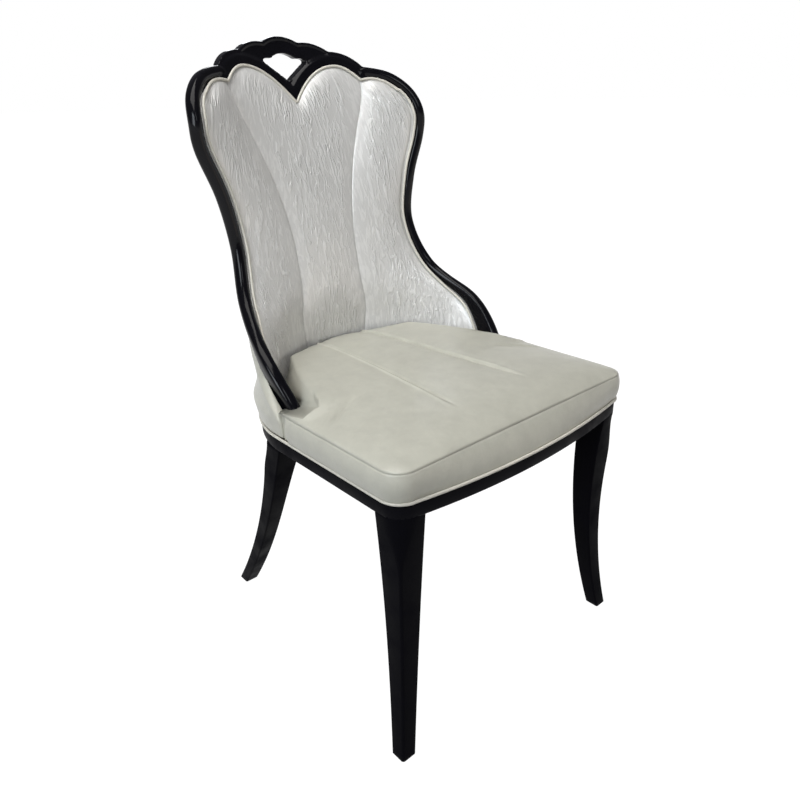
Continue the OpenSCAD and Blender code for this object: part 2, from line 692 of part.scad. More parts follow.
// The rim: a rounded section swept along its line
rim_steps = 40;
rim_section = [for (a = [0:30:330]) let (c = cos(a), s = sin(a))
    [rim_w / 2 * sign(c) * pow(abs(c), 0.75), rim_d / 2 * sign(s) * pow(abs(s), 0.75)]];

function rim_ring(q) = [for (p = rim_section) place(rim_at(q)) + rim_out(q) * p[0] + rim_face(q) * p[1]];

// The lowest ring is laid flat on the sill and the last one against the end of the crest
function laid(ring, dir, axis, place) = [for (p = ring) p + dir * (place - p[axis]) / dir[axis]];

module rim() {
    first = 0.02;
    last = 0.985;
    rings = [for (i = [0:rim_steps]) let (q = mix(first, last, i / rim_steps))
        i == 0 ? laid(rim_ring(q), rim_dir(q), 2, sill_top + fit)
        : i == rim_steps ? laid(rim_ring(q), rim_dir(q), 0, joint_x) : rim_ring(q)];
    n = len(rim_section);
    function ring(i) = [for (k = [0:n - 1]) i * n + k];
    polyhedron([for (r = rings) each r], concat(
        [for (i = [0:rim_steps - 1]) each strip_faces(ring(i), ring(i + 1), true)],
        [for (k = [1:n - 2]) [0, k + 1, k]],
        [for (k = [1:n - 2]) let (b = rim_steps * n) [b, b + k, b + k + 1]]));
}

// Piping along the hem of the lining, from one foot over the lobes to the other
side_cord_rise = 2.1;
top_cord_rise = 3.6;
side_cord = [for (i = [1:20]) let (q = shoulder_q * i / 20)
    hem(q) - rim_out(q) * (piping_d / 2) + rim_face(q) * (piping_d / 2 + side_cord_rise)];

function top_cord_point(x) =
    let (z = top_edge(x) - piping_d / 2 - fit) [x, mid_y(z) - x * x / (2 * top_r) - piping_d / 2 - top_cord_rise, z];

module lining_cord() {
    top = [for (x = [-180:12:-144]) top_cord_point(x)];
    inner = [for (i = [-13:13]) top_cord_point(i / 13 * cusp[0])];
    path = concat([for (p = side_cord) flip(p)], top, inner, [for (i = [3:-1:0]) flip(top[i])], [for (i = [19:-1:0]) side_cord[i]]);
    tube(path, piping_d / 2, 8, [0, -1, 0.2], false);
}

// The sill that carries the back

sill_t = 24;

module sill_plan() {
    a = lining_a + 3;
    b = lining_b + 3;
    t = sill_t;
    difference() {
        polygon(concat([[a + t, sill_front]], [for (k = [0:7.5:180]) [(a + t) * cos(k), side_straight + (b + t) * sin(k)]], [[-a - t, sill_front]]));
        polygon(concat([[a, 0]], [for (k = [0:7.5:180]) [a * cos(k), side_straight + b * sin(k)]], [[-a, 0]]));
    }
}

sill_screw_l = sill_top - rail_bottom - 6;
sill_screw_places = [for (a = [30, 66, 114, 150]) [(lining_a + 3 + sill_t * 0.57) * cos(a), side_straight + (lining_b + 3 + sill_t * 0.57) * sin(a)]];

module sill_screws() {
    for (p = sill_screw_places) translate([p[0], p[1], rail_bottom + 2]) mirror([0, 0, 1]) wood_screw(sill_screw_l);
}

module sill_screw_bores() {
    for (p = sill_screw_places) translate([p[0], p[1], rail_bottom + 2]) mirror([0, 0, 1]) wood_screw_bore(sill_screw_l, 5);
}

module sill() {
    difference() {
        translate([0, 0, rail_top + fit]) linear_extrude(sill_top - rail_top - fit) sill_plan();
        sill_screw_bores();
        both_sides() rim_foot_dowel(dowel_d + bore_gap);
    }
}

// Short dowels up from the sill toward the rims' feet
module rim_foot_dowel(d) translate([rim_foot_x, rim_foot_y - 2, rail_top + 2]) cylinder(d = d, h = sill_top - rail_top - 2, $fn = 24);

// The crest, cut from a slab bent to the radius of the back and leaned with it

crest_lean = atan(lean + 2 * lean_growth * (crest_mid_z - lean_z));
outer_cusps = [[joint_x - fit, crest_z - 46.7], [89.3, crest_z - 22.7], [35, crest_z - 9.2]];
hole_corner = [46, crest_z - 38];
hole_cusp = [26, crest_z - 35];
hole_vee_z = vee_z + 34;

// Points of an arc from p to q that rises by sag at its middle
function arc_points(p, q, sag, n) =
    let (chord = norm(q - p), r = (chord * chord / 4 + sag * sag) / (2 * sag), half = asin(chord / 2 / r),
        along = (q - p) / chord, up = [-along[1], along[0]] * (along[0] > 0 ? 1 : -1))
    [for (i = [0:n - 1]) let (a = mix(-half, half, i / n))
        (p + q) / 2 + along * r * sin(a) + up * (r * cos(a) - (r - sag))];

module crest_outline() {
    c = outer_cusps;
    polygon(concat(
        [for (i = [-12:12]) let (x = i / 12 * cusp[0]) [x, top_edge(x) + fit]],
        [[outer_cusps[0][0], top_edge(joint_x - fit) + fit]],
        arc_points(c[0], c[1], 7, 6), arc_points(c[1], c[2], 5.5, 6),
        arc_points(c[2], [-c[2][0], c[2][1]], 9.2, 8),
        arc_points([-c[2][0], c[2][1]], [-c[1][0], c[1][1]], 5.5, 6),
        arc_points([-c[1][0], c[1][1]], [-c[0][0], c[0][1]], 7, 6),
        [[-outer_cusps[0][0], outer_cusps[0][1]], [-outer_cusps[0][0], top_edge(joint_x - fit) + fit]]));
}

module hand_hole() {
    polygon(concat([[0, hole_vee_z]],
        arc_points(hole_corner, hole_cusp, 2, 4),
        arc_points(hole_cusp, [-hole_cusp[0], hole_cusp[1]], 8.5, 8),
        arc_points([-hole_cusp[0], hole_cusp[1]], [-hole_corner[0], hole_corner[1]], 2, 4),
        [[-hole_corner[0], hole_corner[1]]]));
}

module crest() {
    intersection() {
        extrude_along_y(mid_y(crest_mid_z) - 200, mid_y(crest_mid_z) + 200) difference() {
            crest_outline();
            hand_hole();
        }
        translate([0, mid_y(crest_mid_z), crest_mid_z]) rotate([-crest_lean, 0, 0]) translate([0, -top_r, -90]) difference() {
            cylinder(r = top_r + rim_d - rim_proud, h = 180, $fn = 180);
            translate([0, 0, -1]) cylinder(r = top_r - rim_proud, h = 182, $fn = 180);
        }
    }
}

module rim_pins() {
    rim_foot_dowel(dowel_d);
}

module under_cloth() {
    translate([0, 0, rail_bottom - 0.8]) linear_extrude(0.8 - fit / 2) difference() {
        polygon(frame_edge(8));
        for (s = [-1, 1]) {
            translate([s * (half_w - leg_s / 2), leg_s / 2]) square(leg_s + 2, center = true);
            translate([s * (rear_leg_x - rear_leg_s / 2), rear_leg_y + rear_leg_s / 2]) square(rear_leg_s + 2, center = true);
        }
    }
}

// The middle of the whole chair in depth is the origin
back_end = mid_y(crest_mid_z) + (crest_z - crest_mid_z) * tan(crest_lean) + (rim_d - rim_proud) / cos(crest_lean);
front_end = -front_bow - piping_d + piping_tuck;
module centred() translate([0, -(back_end + front_end) / 2, 0]) children();

module front_leg_left() color(lacquer) centred() mirror([1, 0, 0]) front_leg();
module front_leg_right() color(lacquer) centred() front_leg();
module rear_leg_left() color(lacquer) centred() mirror([1, 0, 0]) rear_leg();
module rear_leg_right() color(lacquer) centred() rear_leg();
module leg_glides() color(nylon) centred() both_sides() glides();
module front_rail() color(lacquer) centred() rail_between(-front_rail_end, front_rail_end, -2 * front_bow, leg_s);
module side_rail_left() color(lacquer) centred() mirror([1, 0, 0]) rail_between(0, half_w + 1, leg_s + fit, rear_leg_y - fit);
module side_rail_right() color(lacquer) centred() rail_between(0, half_w + 1, leg_s + fit, rear_leg_y - fit);
module rear_rail() color(lacquer) centred() rail_between(-half_w - 1, half_w + 1, rear_rail_start, seat_d + 1);
module frame_dowels() color(raw_wood) centred() both_sides() dowels(dowel_d, dowel_l);
module corner_blocks() color(raw_wood) centred() both_sides() blocks();
module corner_block_screws() color(steel) centred() both_sides() block_screws();
module seat_board() color(ply) centred() board();
module seat_board_screws() color(steel) centred() both_sides() board_screws();
module seat_foam() color(foam_white) centred() cushion_foam();
module seat_cover() color(leather) centred() seat_leather();
module seat_piping() color(cord_cream) centred() seat_cord();
module dust_cover() color(cloth_black) centred() under_cloth();
module back_sill() color(raw_wood) centred() sill();
module back_sill_screws() color(steel) centred() sill_screws();
module back_shell() color(ply) centred() shell();
module back_foam() color(foam_white) centred() lining_foam();
module back_cover_inner() color(pearl) centred() lining_leather();
module back_piping() color(cord_cream) centred() lining_cord();
module back_cover_outer() color(leather) centred() outer_leather();
module rim_left() color(lacquer) centred() mirror([1, 0, 0]) rim();
module rim_right() color(lacquer) centred() rim();
module crest_rail() color(lacquer) centred() crest();
module rim_dowels() color(raw_wood) centred() both_sides() rim_pins();

front_leg_left();
front_leg_right();
rear_leg_left();
rear_leg_right();
leg_glides();
front_rail();
side_rail_left();
side_rail_right();
rear_rail();
frame_dowels();
corner_blocks();
corner_block_screws();
seat_board();
seat_board_screws();
seat_foam();
seat_cover();
seat_piping();
dust_cover();
back_sill();
back_sill_screws();
back_shell();
back_foam();
back_cover_inner();
back_piping();
back_cover_outer();
rim_left();
rim_right();
crest_rail();
rim_dowels();
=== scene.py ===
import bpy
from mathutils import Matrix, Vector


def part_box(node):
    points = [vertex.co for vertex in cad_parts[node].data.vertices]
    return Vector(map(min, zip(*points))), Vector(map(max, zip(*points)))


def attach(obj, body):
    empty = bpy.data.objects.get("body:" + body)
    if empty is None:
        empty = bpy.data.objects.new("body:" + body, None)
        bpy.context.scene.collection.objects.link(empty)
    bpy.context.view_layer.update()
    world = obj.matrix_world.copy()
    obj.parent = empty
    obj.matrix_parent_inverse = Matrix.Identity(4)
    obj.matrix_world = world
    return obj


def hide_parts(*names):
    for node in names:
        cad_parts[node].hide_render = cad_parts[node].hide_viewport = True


bl_info = {
    "name": "Scalloped Dining Chair",
    "version": (1, 0, 0),
    "blender": (4, 5, 0),
    "location": "View3D > Sidebar > Chair",
    "description": "Upholsters and lacquers a dining chair around its packed frame",
    "category": "Object",
}

import math

import bpy
import numpy as np
from mathutils import Matrix, Vector

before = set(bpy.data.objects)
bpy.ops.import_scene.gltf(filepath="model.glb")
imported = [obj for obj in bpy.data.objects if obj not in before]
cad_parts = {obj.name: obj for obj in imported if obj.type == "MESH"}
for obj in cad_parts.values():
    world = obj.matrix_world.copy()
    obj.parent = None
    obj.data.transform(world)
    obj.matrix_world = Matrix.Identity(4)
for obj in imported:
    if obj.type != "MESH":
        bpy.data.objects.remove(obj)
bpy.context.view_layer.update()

# Formulas are in millimetres from the front corners of the seat frame, as in the chair's drawing
MM = 0.001

# Seat frame and legs
SEAT_W = 502
SEAT_D = 500
FRONT_BOW = 20
CORNER_R = 32
SIDE_STRAIGHT = 279
RAIL_BOTTOM = 406
RAIL_TOP = 454
RAIL_T = 30
BAND_TOP = 430
SCOOP = 1.1
FOOT_S = 25.5
LEG_S = 48.5
REAR_LEG_S = 46
FOOT_OUT = 10.5
LEG_HOLLOW = 10
WAIST_Z = 235
REAR_RAKE = 225
REAR_TUCK = 30
FRONT_ROUND_Z = 290
REAR_ROUND_Z = 350
REAR_ROUND_R = 14
GLIDE_H = 2
HALF_W = SEAT_W / 2
BACK_DEPTH = SEAT_D - SIDE_STRAIGHT

# Seat
SEAM_Z = 481
CROWN = 20
PIPING_D = 4.6
PIPING_TUCK = 0.9
LEATHER_T = 2
BOX_W = HALF_W + 2.4
LINING_A = 210
LINING_B = 174.5
NOTCH_START = 261
NOTCH_END = 287
PANEL_FRONT_Y = 250
PLEAT_U = 0.335
BOXING_SWELL = 4.4
SEAM_TUCK = 1.5
FIT = 0.3

# Back
RIM_W = 19
RIM_D = 21
RIM_PROUD = 3
RIM_SINK = RIM_D / 2 - RIM_PROUD
HEM_GAP = 0.6
PAD = 11
SEAT_SWELL = 0.7
SEAT_RECESS = SEAT_SWELL * PAD + 2
LEAN = 0.067
LEAN_FROM_Z = 490
LEAN_GROWTH = 0.00034
TOP_R = 360
SILL_TOP = SEAM_Z - 15
PAD_BACK = 9
SHELL_BACK = 16.3
VEE_Z = 891
CREST_Z = 995
CUSP = (134, 926)
LOBE_X = 92
LOBE_Z = 948.5
SHOULDER = (150, 870)
SHOULDER_A = 65 + RIM_W / 2
SHOULDER_B = 58 + RIM_W / 2
JOINT_X = 139
RIM_FOOT_X = 224.5
RIM_FOOT_BELOW = 35
RIM_FOOT_AHEAD = 16
RIM_FOOT_OUT = 7
RIM_FOOT_WIDER = 20
RIM_FOOT_SHARE = 0.15
SEAM_FOOT = 0.206
SEAM_HEAD = 0.644
CHANNEL_U = 0.4
CREST_MID_Z = 940
SKIRT_BULGE = 13
SKIRT_BULGE_H = 90

# The frame's origin lies this far behind the front corners of the seat frame
SHIFT_Y = -(FRONT_BOW + PIPING_D - PIPING_TUCK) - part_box("seat_piping")[0][1] / MM


# Small mathematics, all of it on arrays

def mix(a, b, t):
    return a + (b - a) * t


def ease(t):
    c = np.clip(t, 0, 1)
    return c * c * (3 - 2 * c)


def unit(v):
    return v / np.linalg.norm(v, axis=-1, keepdims=True)


def keep_sign(t, k):
    return np.sign(t) * np.abs(t) ** k


def hump(d, width):
    return np.exp(-(d / width) ** 2)


def nearest(p, curve):
    """Distance of each point to a curve given by close points."""
    return np.min(np.linalg.norm(p[:, None] - curve[None], axis=-1), axis=1)


def points(*columns):
    return np.stack(np.broadcast_arrays(*columns), axis=-1).astype(float)


def walked(p, axis):
    """Distance along each line of points from its first point."""
    steps = np.diff(p, axis=axis, prepend=np.take(p, [0], axis))
    return np.cumsum(np.linalg.norm(steps, axis=-1), axis=axis)


def mirrored(p):
    return p * (-1, 1, 1)


# Meshes

def new_object(name, data):
    made = bpy.data.objects.new(name, data)
    bpy.context.scene.collection.objects.link(made)
    return made


def evaluated_mesh(made):
    """The mesh of an object after its modifiers, or of a curve."""
    bpy.context.view_layer.update()
    return bpy.data.meshes.new_from_object(made.evaluated_get(bpy.context.evaluated_depsgraph_get()))


def grid_faces(rows, cols, start=0, flip=False, wrap=False):
    """Quads of a grid of points; wrap joins its last column to its first."""
    faces = []
    for j in range(rows - 1):
        for i in range(cols if wrap else cols - 1):
            n = (i + 1) % cols
            a, b = start + j * cols + i, start + j * cols + n
            quad = (a, b, b + cols, a + cols)
            faces.append(quad[::-1] if flip else quad)
    return faces


def grid_border(rows, cols):
    """Indices once round a grid of points: first row, last column, last row and first column."""
    last = (rows - 1) * cols
    return [*range(cols - 1), *range(cols - 1, last, cols), *range(last + cols - 1, last, -1),
            *range(last, 0, -cols)]


def make_piece(name, verts, faces, material, uv=None):
    """An object in the frame's metres from points in the drawing's millimetres."""
    mesh = bpy.data.meshes.new(name)
    placed = (np.asarray(verts, float) - (0, SHIFT_Y, 0)) * MM
    mesh.from_pydata(placed.tolist(), [], faces)
    mesh.polygons.foreach_set("use_smooth", [True] * len(mesh.polygons))
    if uv is not None:
        layer = mesh.uv_layers.new(name="grain")
        index = np.empty(len(mesh.loops), int)
        mesh.loops.foreach_get("vertex_index", index)
        layer.data.foreach_set("uv", np.asarray(uv)[index].ravel())
    mesh.update()
    piece = new_object(name, mesh)
    piece.data.materials.append(material)
    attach(piece, "root")
    return piece


def closed_sheet(name, front, back, material, uv=None):
    """A thin closed solid between two grids of points of the same size."""
    rows, cols = front.shape[:2]
    n = rows * cols
    faces = grid_faces(rows, cols) + grid_faces(rows, cols, n, flip=True)
    edge = grid_border(rows, cols)
    faces += [(a, a + n, b + n, b) for a, b in zip(edge, edge[1:] + edge[:1])]
    verts = np.concatenate([front.reshape(-1, 3), back.reshape(-1, 3)])
    if uv is not None:
        uv = np.concatenate([uv.reshape(-1, 2)] * 2)
    return make_piece(name, verts, faces, material, uv)


def tube_mesh(rings, closed):
    """Points and faces of a tube through rings of points, closed to a loop or capped at its ends."""
    n, sides = rings.shape[:2]
    last = (n - 1) * sides
    faces = grid_faces(n, sides, wrap=True)
    if closed:
        faces += [(last + k, last + (k + 1) % sides, (k + 1) % sides, k) for k in range(sides)]
    else:
        faces += [tuple(range(sides))[::-1], tuple(range(last, last + sides))]
    return rings.reshape(-1, 3), faces


def path_directions(path, closed):
    if closed:
        return unit(np.roll(path, -1, axis=0) - np.roll(path, 1, axis=0))
    ends = np.concatenate([path[:1], path, path[-1:]])
    return unit(ends[2:] - ends[:-2])


def cord_mesh(path, radius, side, closed, sides=12):
    """A round cord along a path; side is a direction that is never along it."""
    way = path_directions(path, closed)
    x = unit(np.cross(np.cross(way, side), way))
    y = np.cross(way, x)
    a = np.linspace(0, 2 * np.pi, sides, endpoint=False)[None, :, None]
    return tube_mesh(path[:, None] + radius * (np.cos(a) * x[:, None] + np.sin(a) * y[:, None]), closed)


def apply_modifiers(piece):
    old, baked = piece.data, evaluated_mesh(piece)
    piece.modifiers.clear()
    piece.data = baked
    bpy.data.meshes.remove(old)


def softened(piece, rounds):
    """Evens out a mesh by moving each point toward the middle of its neighbours."""
    smooth = piece.modifiers.new("soften", "SMOOTH")
    smooth.factor = 0.5
    smooth.iterations = rounds
    apply_modifiers(piece)


def voxel_joined(piece, voxel):
    """Gives overlapping parts one even skin; voxel is in the piece's own units."""
    remesh = piece.modifiers.new("join", "REMESH")
    remesh.mode = "VOXEL"
    remesh.voxel_size = voxel
    remesh.use_smooth_shade = True
    apply_modifiers(piece)


# Materials

def shade(colour, amount):
    return tuple(min(1.0, c * amount) for c in colour)


def colour_ramp(tree, low, high, span):
    ramp = tree.nodes.new("ShaderNodeValToRGB")
    for stop, position, colour in zip(ramp.color_ramp.elements, span, (low, high)):
        stop.position = position
        stop.color = (*colour, 1)
    return ramp


class Paint:
    """A procedural material, with short ways to add its nodes and join them."""

    def __init__(self, name, colour, roughness, specular=0.5, **inputs):
        self.material = bpy.data.materials.new(name)
        self.material.use_nodes = True
        self.material.diffuse_color = (*colour, 1)
        self.tree = self.material.node_tree
        self.surface = self.tree.nodes["Principled BSDF"]
        self.finish(Base_Color=(*colour, 1), Roughness=roughness, Specular_IOR_Level=specular, **inputs)

    def fill(self, node, **inputs):
        """Gives each named input a value, or joins it to another node's output."""
        for socket, value in inputs.items():
            target = node.inputs[socket.replace("_", " ")]
            if isinstance(value, bpy.types.NodeSocket):
                self.tree.links.new(value, target)
            else:
                target.default_value = value
        return node

    def finish(self, **inputs):
        self.fill(self.surface, **inputs)
        return self.material

    def add(self, kind, **inputs):
        return self.fill(self.tree.nodes.new(kind), **inputs)

    def place(self, scale=(1, 1, 1), turn=0, layer=None):
        """Coordinates in the piece's own metres, or in its unrolled layer, scaled and turned."""
        if layer:
            node = self.add("ShaderNodeUVMap")
            node.uv_map = layer
            source = node.outputs["UV"]
        else:
            source = self.add("ShaderNodeTexCoord").outputs["Object"]
        return self.add("ShaderNodeMapping", Scale=scale, Rotation=(0, 0, math.radians(turn)),
                        Vector=source).outputs["Vector"]

    def noise(self, place, scale, detail=3, roughness=0.5, distortion=0.0):
        return self.add("ShaderNodeTexNoise", Scale=scale, Detail=detail, Roughness=roughness,
                        Distortion=distortion, Vector=place).outputs["Fac"]

    def cells(self, place, scale):
        made = self.add("ShaderNodeTexVoronoi", Scale=scale, Vector=place)
        made.feature = "DISTANCE_TO_EDGE"
        return made.outputs["Distance"]

    def between(self, factor, low, high, span=(0.0, 1.0)):
        """A value that runs from low to high as factor runs over span."""
        return self.add("ShaderNodeMapRange", Value=factor, From_Min=span[0], From_Max=span[1],
                        To_Min=low, To_Max=high).outputs["Result"]

    def math(self, operation, one, other):
        both = self.add("ShaderNodeMath")
        both.operation = operation
        self.tree.links.new(one, both.inputs[0])
        self.tree.links.new(other, both.inputs[1])
        return both.outputs["Value"]

    def tinted(self, factor, colour, low, high, span=(0.3, 0.7)):
        """The colour, from low to high times as bright as factor runs over span."""
        ramp = colour_ramp(self.tree, shade(colour, low), shade(colour, high), span)
        return self.fill(ramp, Fac=factor).outputs["Color"]

    def raised(self, height, distance, under=None):
        bump = self.add("ShaderNodeBump", Strength=1.0, Distance=distance, Height=height)
        if under:
            self.fill(bump, Normal=under)
        return bump.outputs["Normal"]


def lacquer(name, colour, gloss_roughness, specular):
    """Sprayed black lacquer: nearly a mirror, with faint orange peel and handling haze."""
    paint = Paint(name, colour, gloss_roughness, specular)
    place = paint.place()
    haze, peel, wave = paint.noise(place, 22, 4, 0.6), paint.noise(place, 420, 2), paint.noise(place, 38, 2)
    return paint.finish(
        Roughness=paint.between(haze, gloss_roughness * 0.7, gloss_roughness * 1.6, (0.3, 0.7)),
        Base_Color=paint.tinted(haze, colour, 0.8, 1.25),
        Normal=paint.raised(peel, 0.00002, paint.raised(wave, 0.0002)))


def smooth_leather(name, colour):
    """Corrected-grain leather: fine pebble, faint mottling, a soft satin top coat."""
    paint = Paint(name, colour, 0.42, 0.4, Coat_Weight=0.3, Coat_Roughness=0.27)
    place = paint.place()
    mottle, cloudy = paint.noise(place, 34, 5, 0.62), paint.noise(place, 9, 3)
    pebble = paint.between(paint.cells(place, 620), 0, 1, (0, 0.12))
    soft = paint.raised(paint.noise(place, 26, 3), 0.0016)
    creased = paint.raised(paint.noise(place, 120, 6, 0.7, 0.8), 0.00025, soft)
    return paint.finish(Base_Color=paint.tinted(mottle, colour, 0.93, 1.05),
                        Roughness=paint.between(cloudy, 0.3, 0.44, (0.3, 0.7)),
                        Normal=paint.raised(pebble, 0.00006, creased))


def bark_leather(name, colour):
    """Pearl leather embossed with short crooked strokes, like bark, that fade where it is stretched."""
    paint = Paint(name, colour, 0.3, Metallic=0.12, Coat_Weight=0.45, Coat_Roughness=0.2,
                  Coat_Tint=(0.93, 0.96, 1, 1))
    loose = paint.add("ShaderNodeAttribute")
    loose.attribute_name = "loose"
    strokes = paint.noise(paint.place((170, 42, 1), -14, "grain"), 1, 1.5, 0.45, 1.1)
    fine = paint.noise(paint.place((420, 150, 1), -20, "grain"), 1, 3, 0.6, 0.6)
    wide = paint.noise(paint.place((24, 12, 1), 0, "grain"), 1, 2)
    patchy = paint.between(wide, 0.35, 1.0, (0.38, 0.6))
    ridges = paint.between(strokes, 0, 1, (0.47, 0.61))
    deep = paint.math("MULTIPLY", paint.math("MULTIPLY", ridges, loose.outputs["Fac"]), patchy)
    embossed = paint.raised(deep, 0.0011, paint.raised(wide, 0.003))
    return paint.finish(Base_Color=paint.tinted(ridges, colour, 0.94, 1.05, (0.1, 0.9)),
                        Roughness=paint.between(deep, 0.36, 0.24),
                        Normal=paint.raised(fine, 0.00025, embossed))


def cord_leather(name, colour):
    paint = Paint(name, colour, 0.45, 0.4)
    spots = paint.noise(paint.place(), 160, 4, 0.6)
    return paint.finish(Base_Color=paint.tinted(spots, colour, 0.92, 1.04),
                        Normal=paint.raised(spots, 0.0003))


def raw_wood(name, colour, layers=False):
    """Unfinished wood with long grain, or the stripes of plywood's edges."""
    paint = Paint(name, colour, 0.62)
    grain = paint.noise(paint.place((3, 3, 160) if layers else (60, 6, 60)), 1.5, 4, 0.6, 0.4)
    return paint.finish(Base_Color=paint.tinted(grain, colour, 0.75, 1.1), Normal=paint.raised(grain, 0.0003))


def plated_steel(name, colour):
    paint = Paint(name, colour, 0.32, Metallic=1)
    brushed = paint.noise(paint.place((900, 900, 90)), 1, 2)
    return paint.finish(Roughness=paint.between(brushed, 0.24, 0.42))


def moulded_nylon(name, colour):
    paint = Paint(name, colour, 0.5)
    grit = paint.noise(paint.place(), 1500, 2)
    return paint.finish(Roughness=paint.between(grit, 0.42, 0.6), Normal=paint.raised(grit, 0.00005))


def felted_cloth(name, colour):
    paint = Paint(name, colour, 0.9, 0.2, Sheen_Weight=0.3)
    dots = paint.cells(paint.place(), 700)
    return paint.finish(Base_Color=paint.tinted(dots, colour, 0.7, 1.3, (0, 0.3)),
                        Normal=paint.raised(dots, 0.0002))


# Outline of the seat frame

def frame_edge(inset, bow=FRONT_BOW):
    """Closed outline seen from above, anticlockwise from the front left corner."""
    w, r, b = HALF_W - inset, CORNER_R - inset, BACK_DEPTH - inset
    t = np.linspace(-1, 1, 33)
    front = points((w - r) * t, inset - bow * (1 - t * t))
    a = np.radians(np.linspace(-78, 0, 12))
    right = points(w - r + r * np.cos(a), CORNER_R + r * np.sin(a))
    side_y = np.linspace(CORNER_R, SIDE_STRAIGHT, 14)[1:-1]
    right_side = points(np.full(len(side_y), w), side_y)
    a = np.radians(np.linspace(0, 180, 91))
    back = points(w * keep_sign(np.cos(a), SCOOP), SIDE_STRAIGHT + b * keep_sign(np.sin(a), SCOOP))
    left = [(p * (-1, 1))[::-1] for p in (right_side, right)]
    return np.concatenate([front, right, right_side, back, *left])


# The rim's middle line

def mid_y(z):
    """Middle line of the lining at height z."""
    h = z - LEAN_FROM_Z
    return SIDE_STRAIGHT + LINING_B + LEAN * h + LEAN_GROWTH * h * h + SEAT_RECESS * (1 - ease(h / 110))


def across_y(x, z):
    """How far back the lining's plane lies near the top, where the back bends to one radius."""
    return mid_y(z) - x * x / (2 * TOP_R)


def rim_station_list():
    def shoulder_point(a):
        x = SHOULDER[0] + SHOULDER_A * math.cos(a)
        z = SHOULDER[1] + SHOULDER_B * math.sin(a)
        return (x, across_y(x, z) + RIM_SINK, z, 42)

    top = SHOULDER[1] + SHOULDER_B
    stations = [
        (RIM_FOOT_X, 270, 432, 88),
        (RIM_FOOT_X, 280, SILL_TOP + FIT, 88),
        (229, 331.5, 540, 82),
        (202.6, 417, 600, 64),
        (184.7, 456.6, 680, 52),
        (196, 463.5, 760, 46),
        (221, 464.5, 830, 43),
    ]
    stations += [shoulder_point(math.radians(a)) for a in (0, 30, 60, 90)]
    stations.append((JOINT_X, across_y(JOINT_X, top - 2) + RIM_SINK, top - 2, 42))
    stations.append((JOINT_X - 30, across_y(JOINT_X - 30, 935) + RIM_SINK, top - 8, 42))
    return np.array(stations)


RIM_STATIONS = rim_station_list()
RIM_SPANS = len(RIM_STATIONS) - 3
SHOULDER_Q = (6 + 1.35) / RIM_SPANS


def rim_at(q):
    """Smooth curve through the stations: place in columns 0 to 2, the lining's turn in column 3."""
    s = np.clip(np.asarray(q, float) * RIM_SPANS, 0, RIM_SPANS - 0.0001)
    i = np.floor(s).astype(int)
    t = (s - i)[..., None]
    a, b, c, d = (RIM_STATIONS[i + k] for k in range(4))
    bend, twist = 2 * a - 5 * b + 4 * c - d, 3 * b - a - 3 * c + d
    return 0.5 * (2 * b + (c - a) * t + bend * t * t + twist * t ** 3)


def rim_dir(q):
    q = np.asarray(q, float)
    return unit(rim_at(np.minimum(1, q + 0.004))[..., :3] - rim_at(np.maximum(0, q - 0.004))[..., :3])


def rim_face(q):
    """Which way the lining faces beside the rim."""
    r = rim_at(q)
    way = rim_dir(q)
    turn = np.radians(r[..., 3])
    depth = mid_y(r[..., 2]) - r[..., 1] + RIM_SINK
    angle = np.arctan(depth / r[..., 0] * (1 + np.cos(turn)) / np.cos(turn))
    across = points(np.cos(angle), -np.sin(angle), 0 * angle)
    slope = unit(points(0 * angle, LEAN + 2 * LEAN_GROWTH * (r[..., 2] - LEAN_FROM_Z), 1 + 0 * angle))
    up = mix(way, slope, ease((r[..., 2] - 800) / 70)[..., None])
    return unit(np.cross(across, up))


def rim_out(q):
    return unit(np.cross(rim_dir(q), rim_face(q)))


def rim_axes(q):
    return rim_at(q)[..., :3], rim_out(q), rim_face(q)


def hem(q):
    """The lining's edge beside the rim."""
    place, out, face = rim_axes(q)
    return place - out * (RIM_W / 2 + HEM_GAP) + face * RIM_SINK


HEM_TOP_Z = hem(SHOULDER_Q)[2]


def top_edge(x):
    """Height of the lining's top edge: an outer lobe, a cusp, a middle lobe and the V."""
    e = np.abs(x)
    middle = LOBE_Z - (LOBE_Z - VEE_Z) * (1 - e / LOBE_X) ** 2
    beside = LOBE_Z - (LOBE_Z - CUSP[1]) * ((e - LOBE_X) / (CUSP[0] - LOBE_X)) ** 2
    inner_top = SHOULDER[1] + SHOULDER_B - RIM_W / 2
    outer = mix(CUSP[1], inner_top, (e - CUSP[0]) / (SHOULDER[0] - CUSP[0]))
    round_part = np.clip(1 - ((e - SHOULDER[0]) / (SHOULDER_A - RIM_W / 2)) ** 2, 0, 1)
    shoulder = SHOULDER[1] + (SHOULDER_B - RIM_W / 2) * np.sqrt(round_part)
    return np.select([e < LOBE_X, e < CUSP[0], e < SHOULDER[0]], [middle, beside, outer], shoulder)


# The lining's surface

def across_share(u, v):
    e = np.abs(u)
    s = mix(SEAM_FOOT, SEAM_HEAD, v ** 1.25)
    outer = mix(s, 1, (e - CHANNEL_U) / (1 - CHANNEL_U))
    return np.sign(u) * np.where(e < CHANNEL_U, s * e / CHANNEL_U, outer)


def lining(u, v):
    u, v = np.broadcast_arrays(np.asarray(u, float), np.asarray(v, float))
    q = v * SHOULDER_Q
    h = hem(q)
    turn = np.radians(rim_at(q)[..., 3])
    k = mix(SCOOP - 0.05, 1, v)
    s = across_share(u, v)
    a = np.abs(s) * turn
    x = np.sign(s) * h[..., 0] * (np.sin(a) / np.sin(turn)) ** k
    z = h[..., 2] + (top_edge(x) - FIT - HEM_TOP_Z) * v ** 5 * (1 - np.abs(u) ** 12)
    depth = mid_y(h[..., 2]) - h[..., 1]
    return points(x, mid_y(z) - depth * (1 - np.cos(a) ** k) / (1 - np.cos(turn) ** k), z)


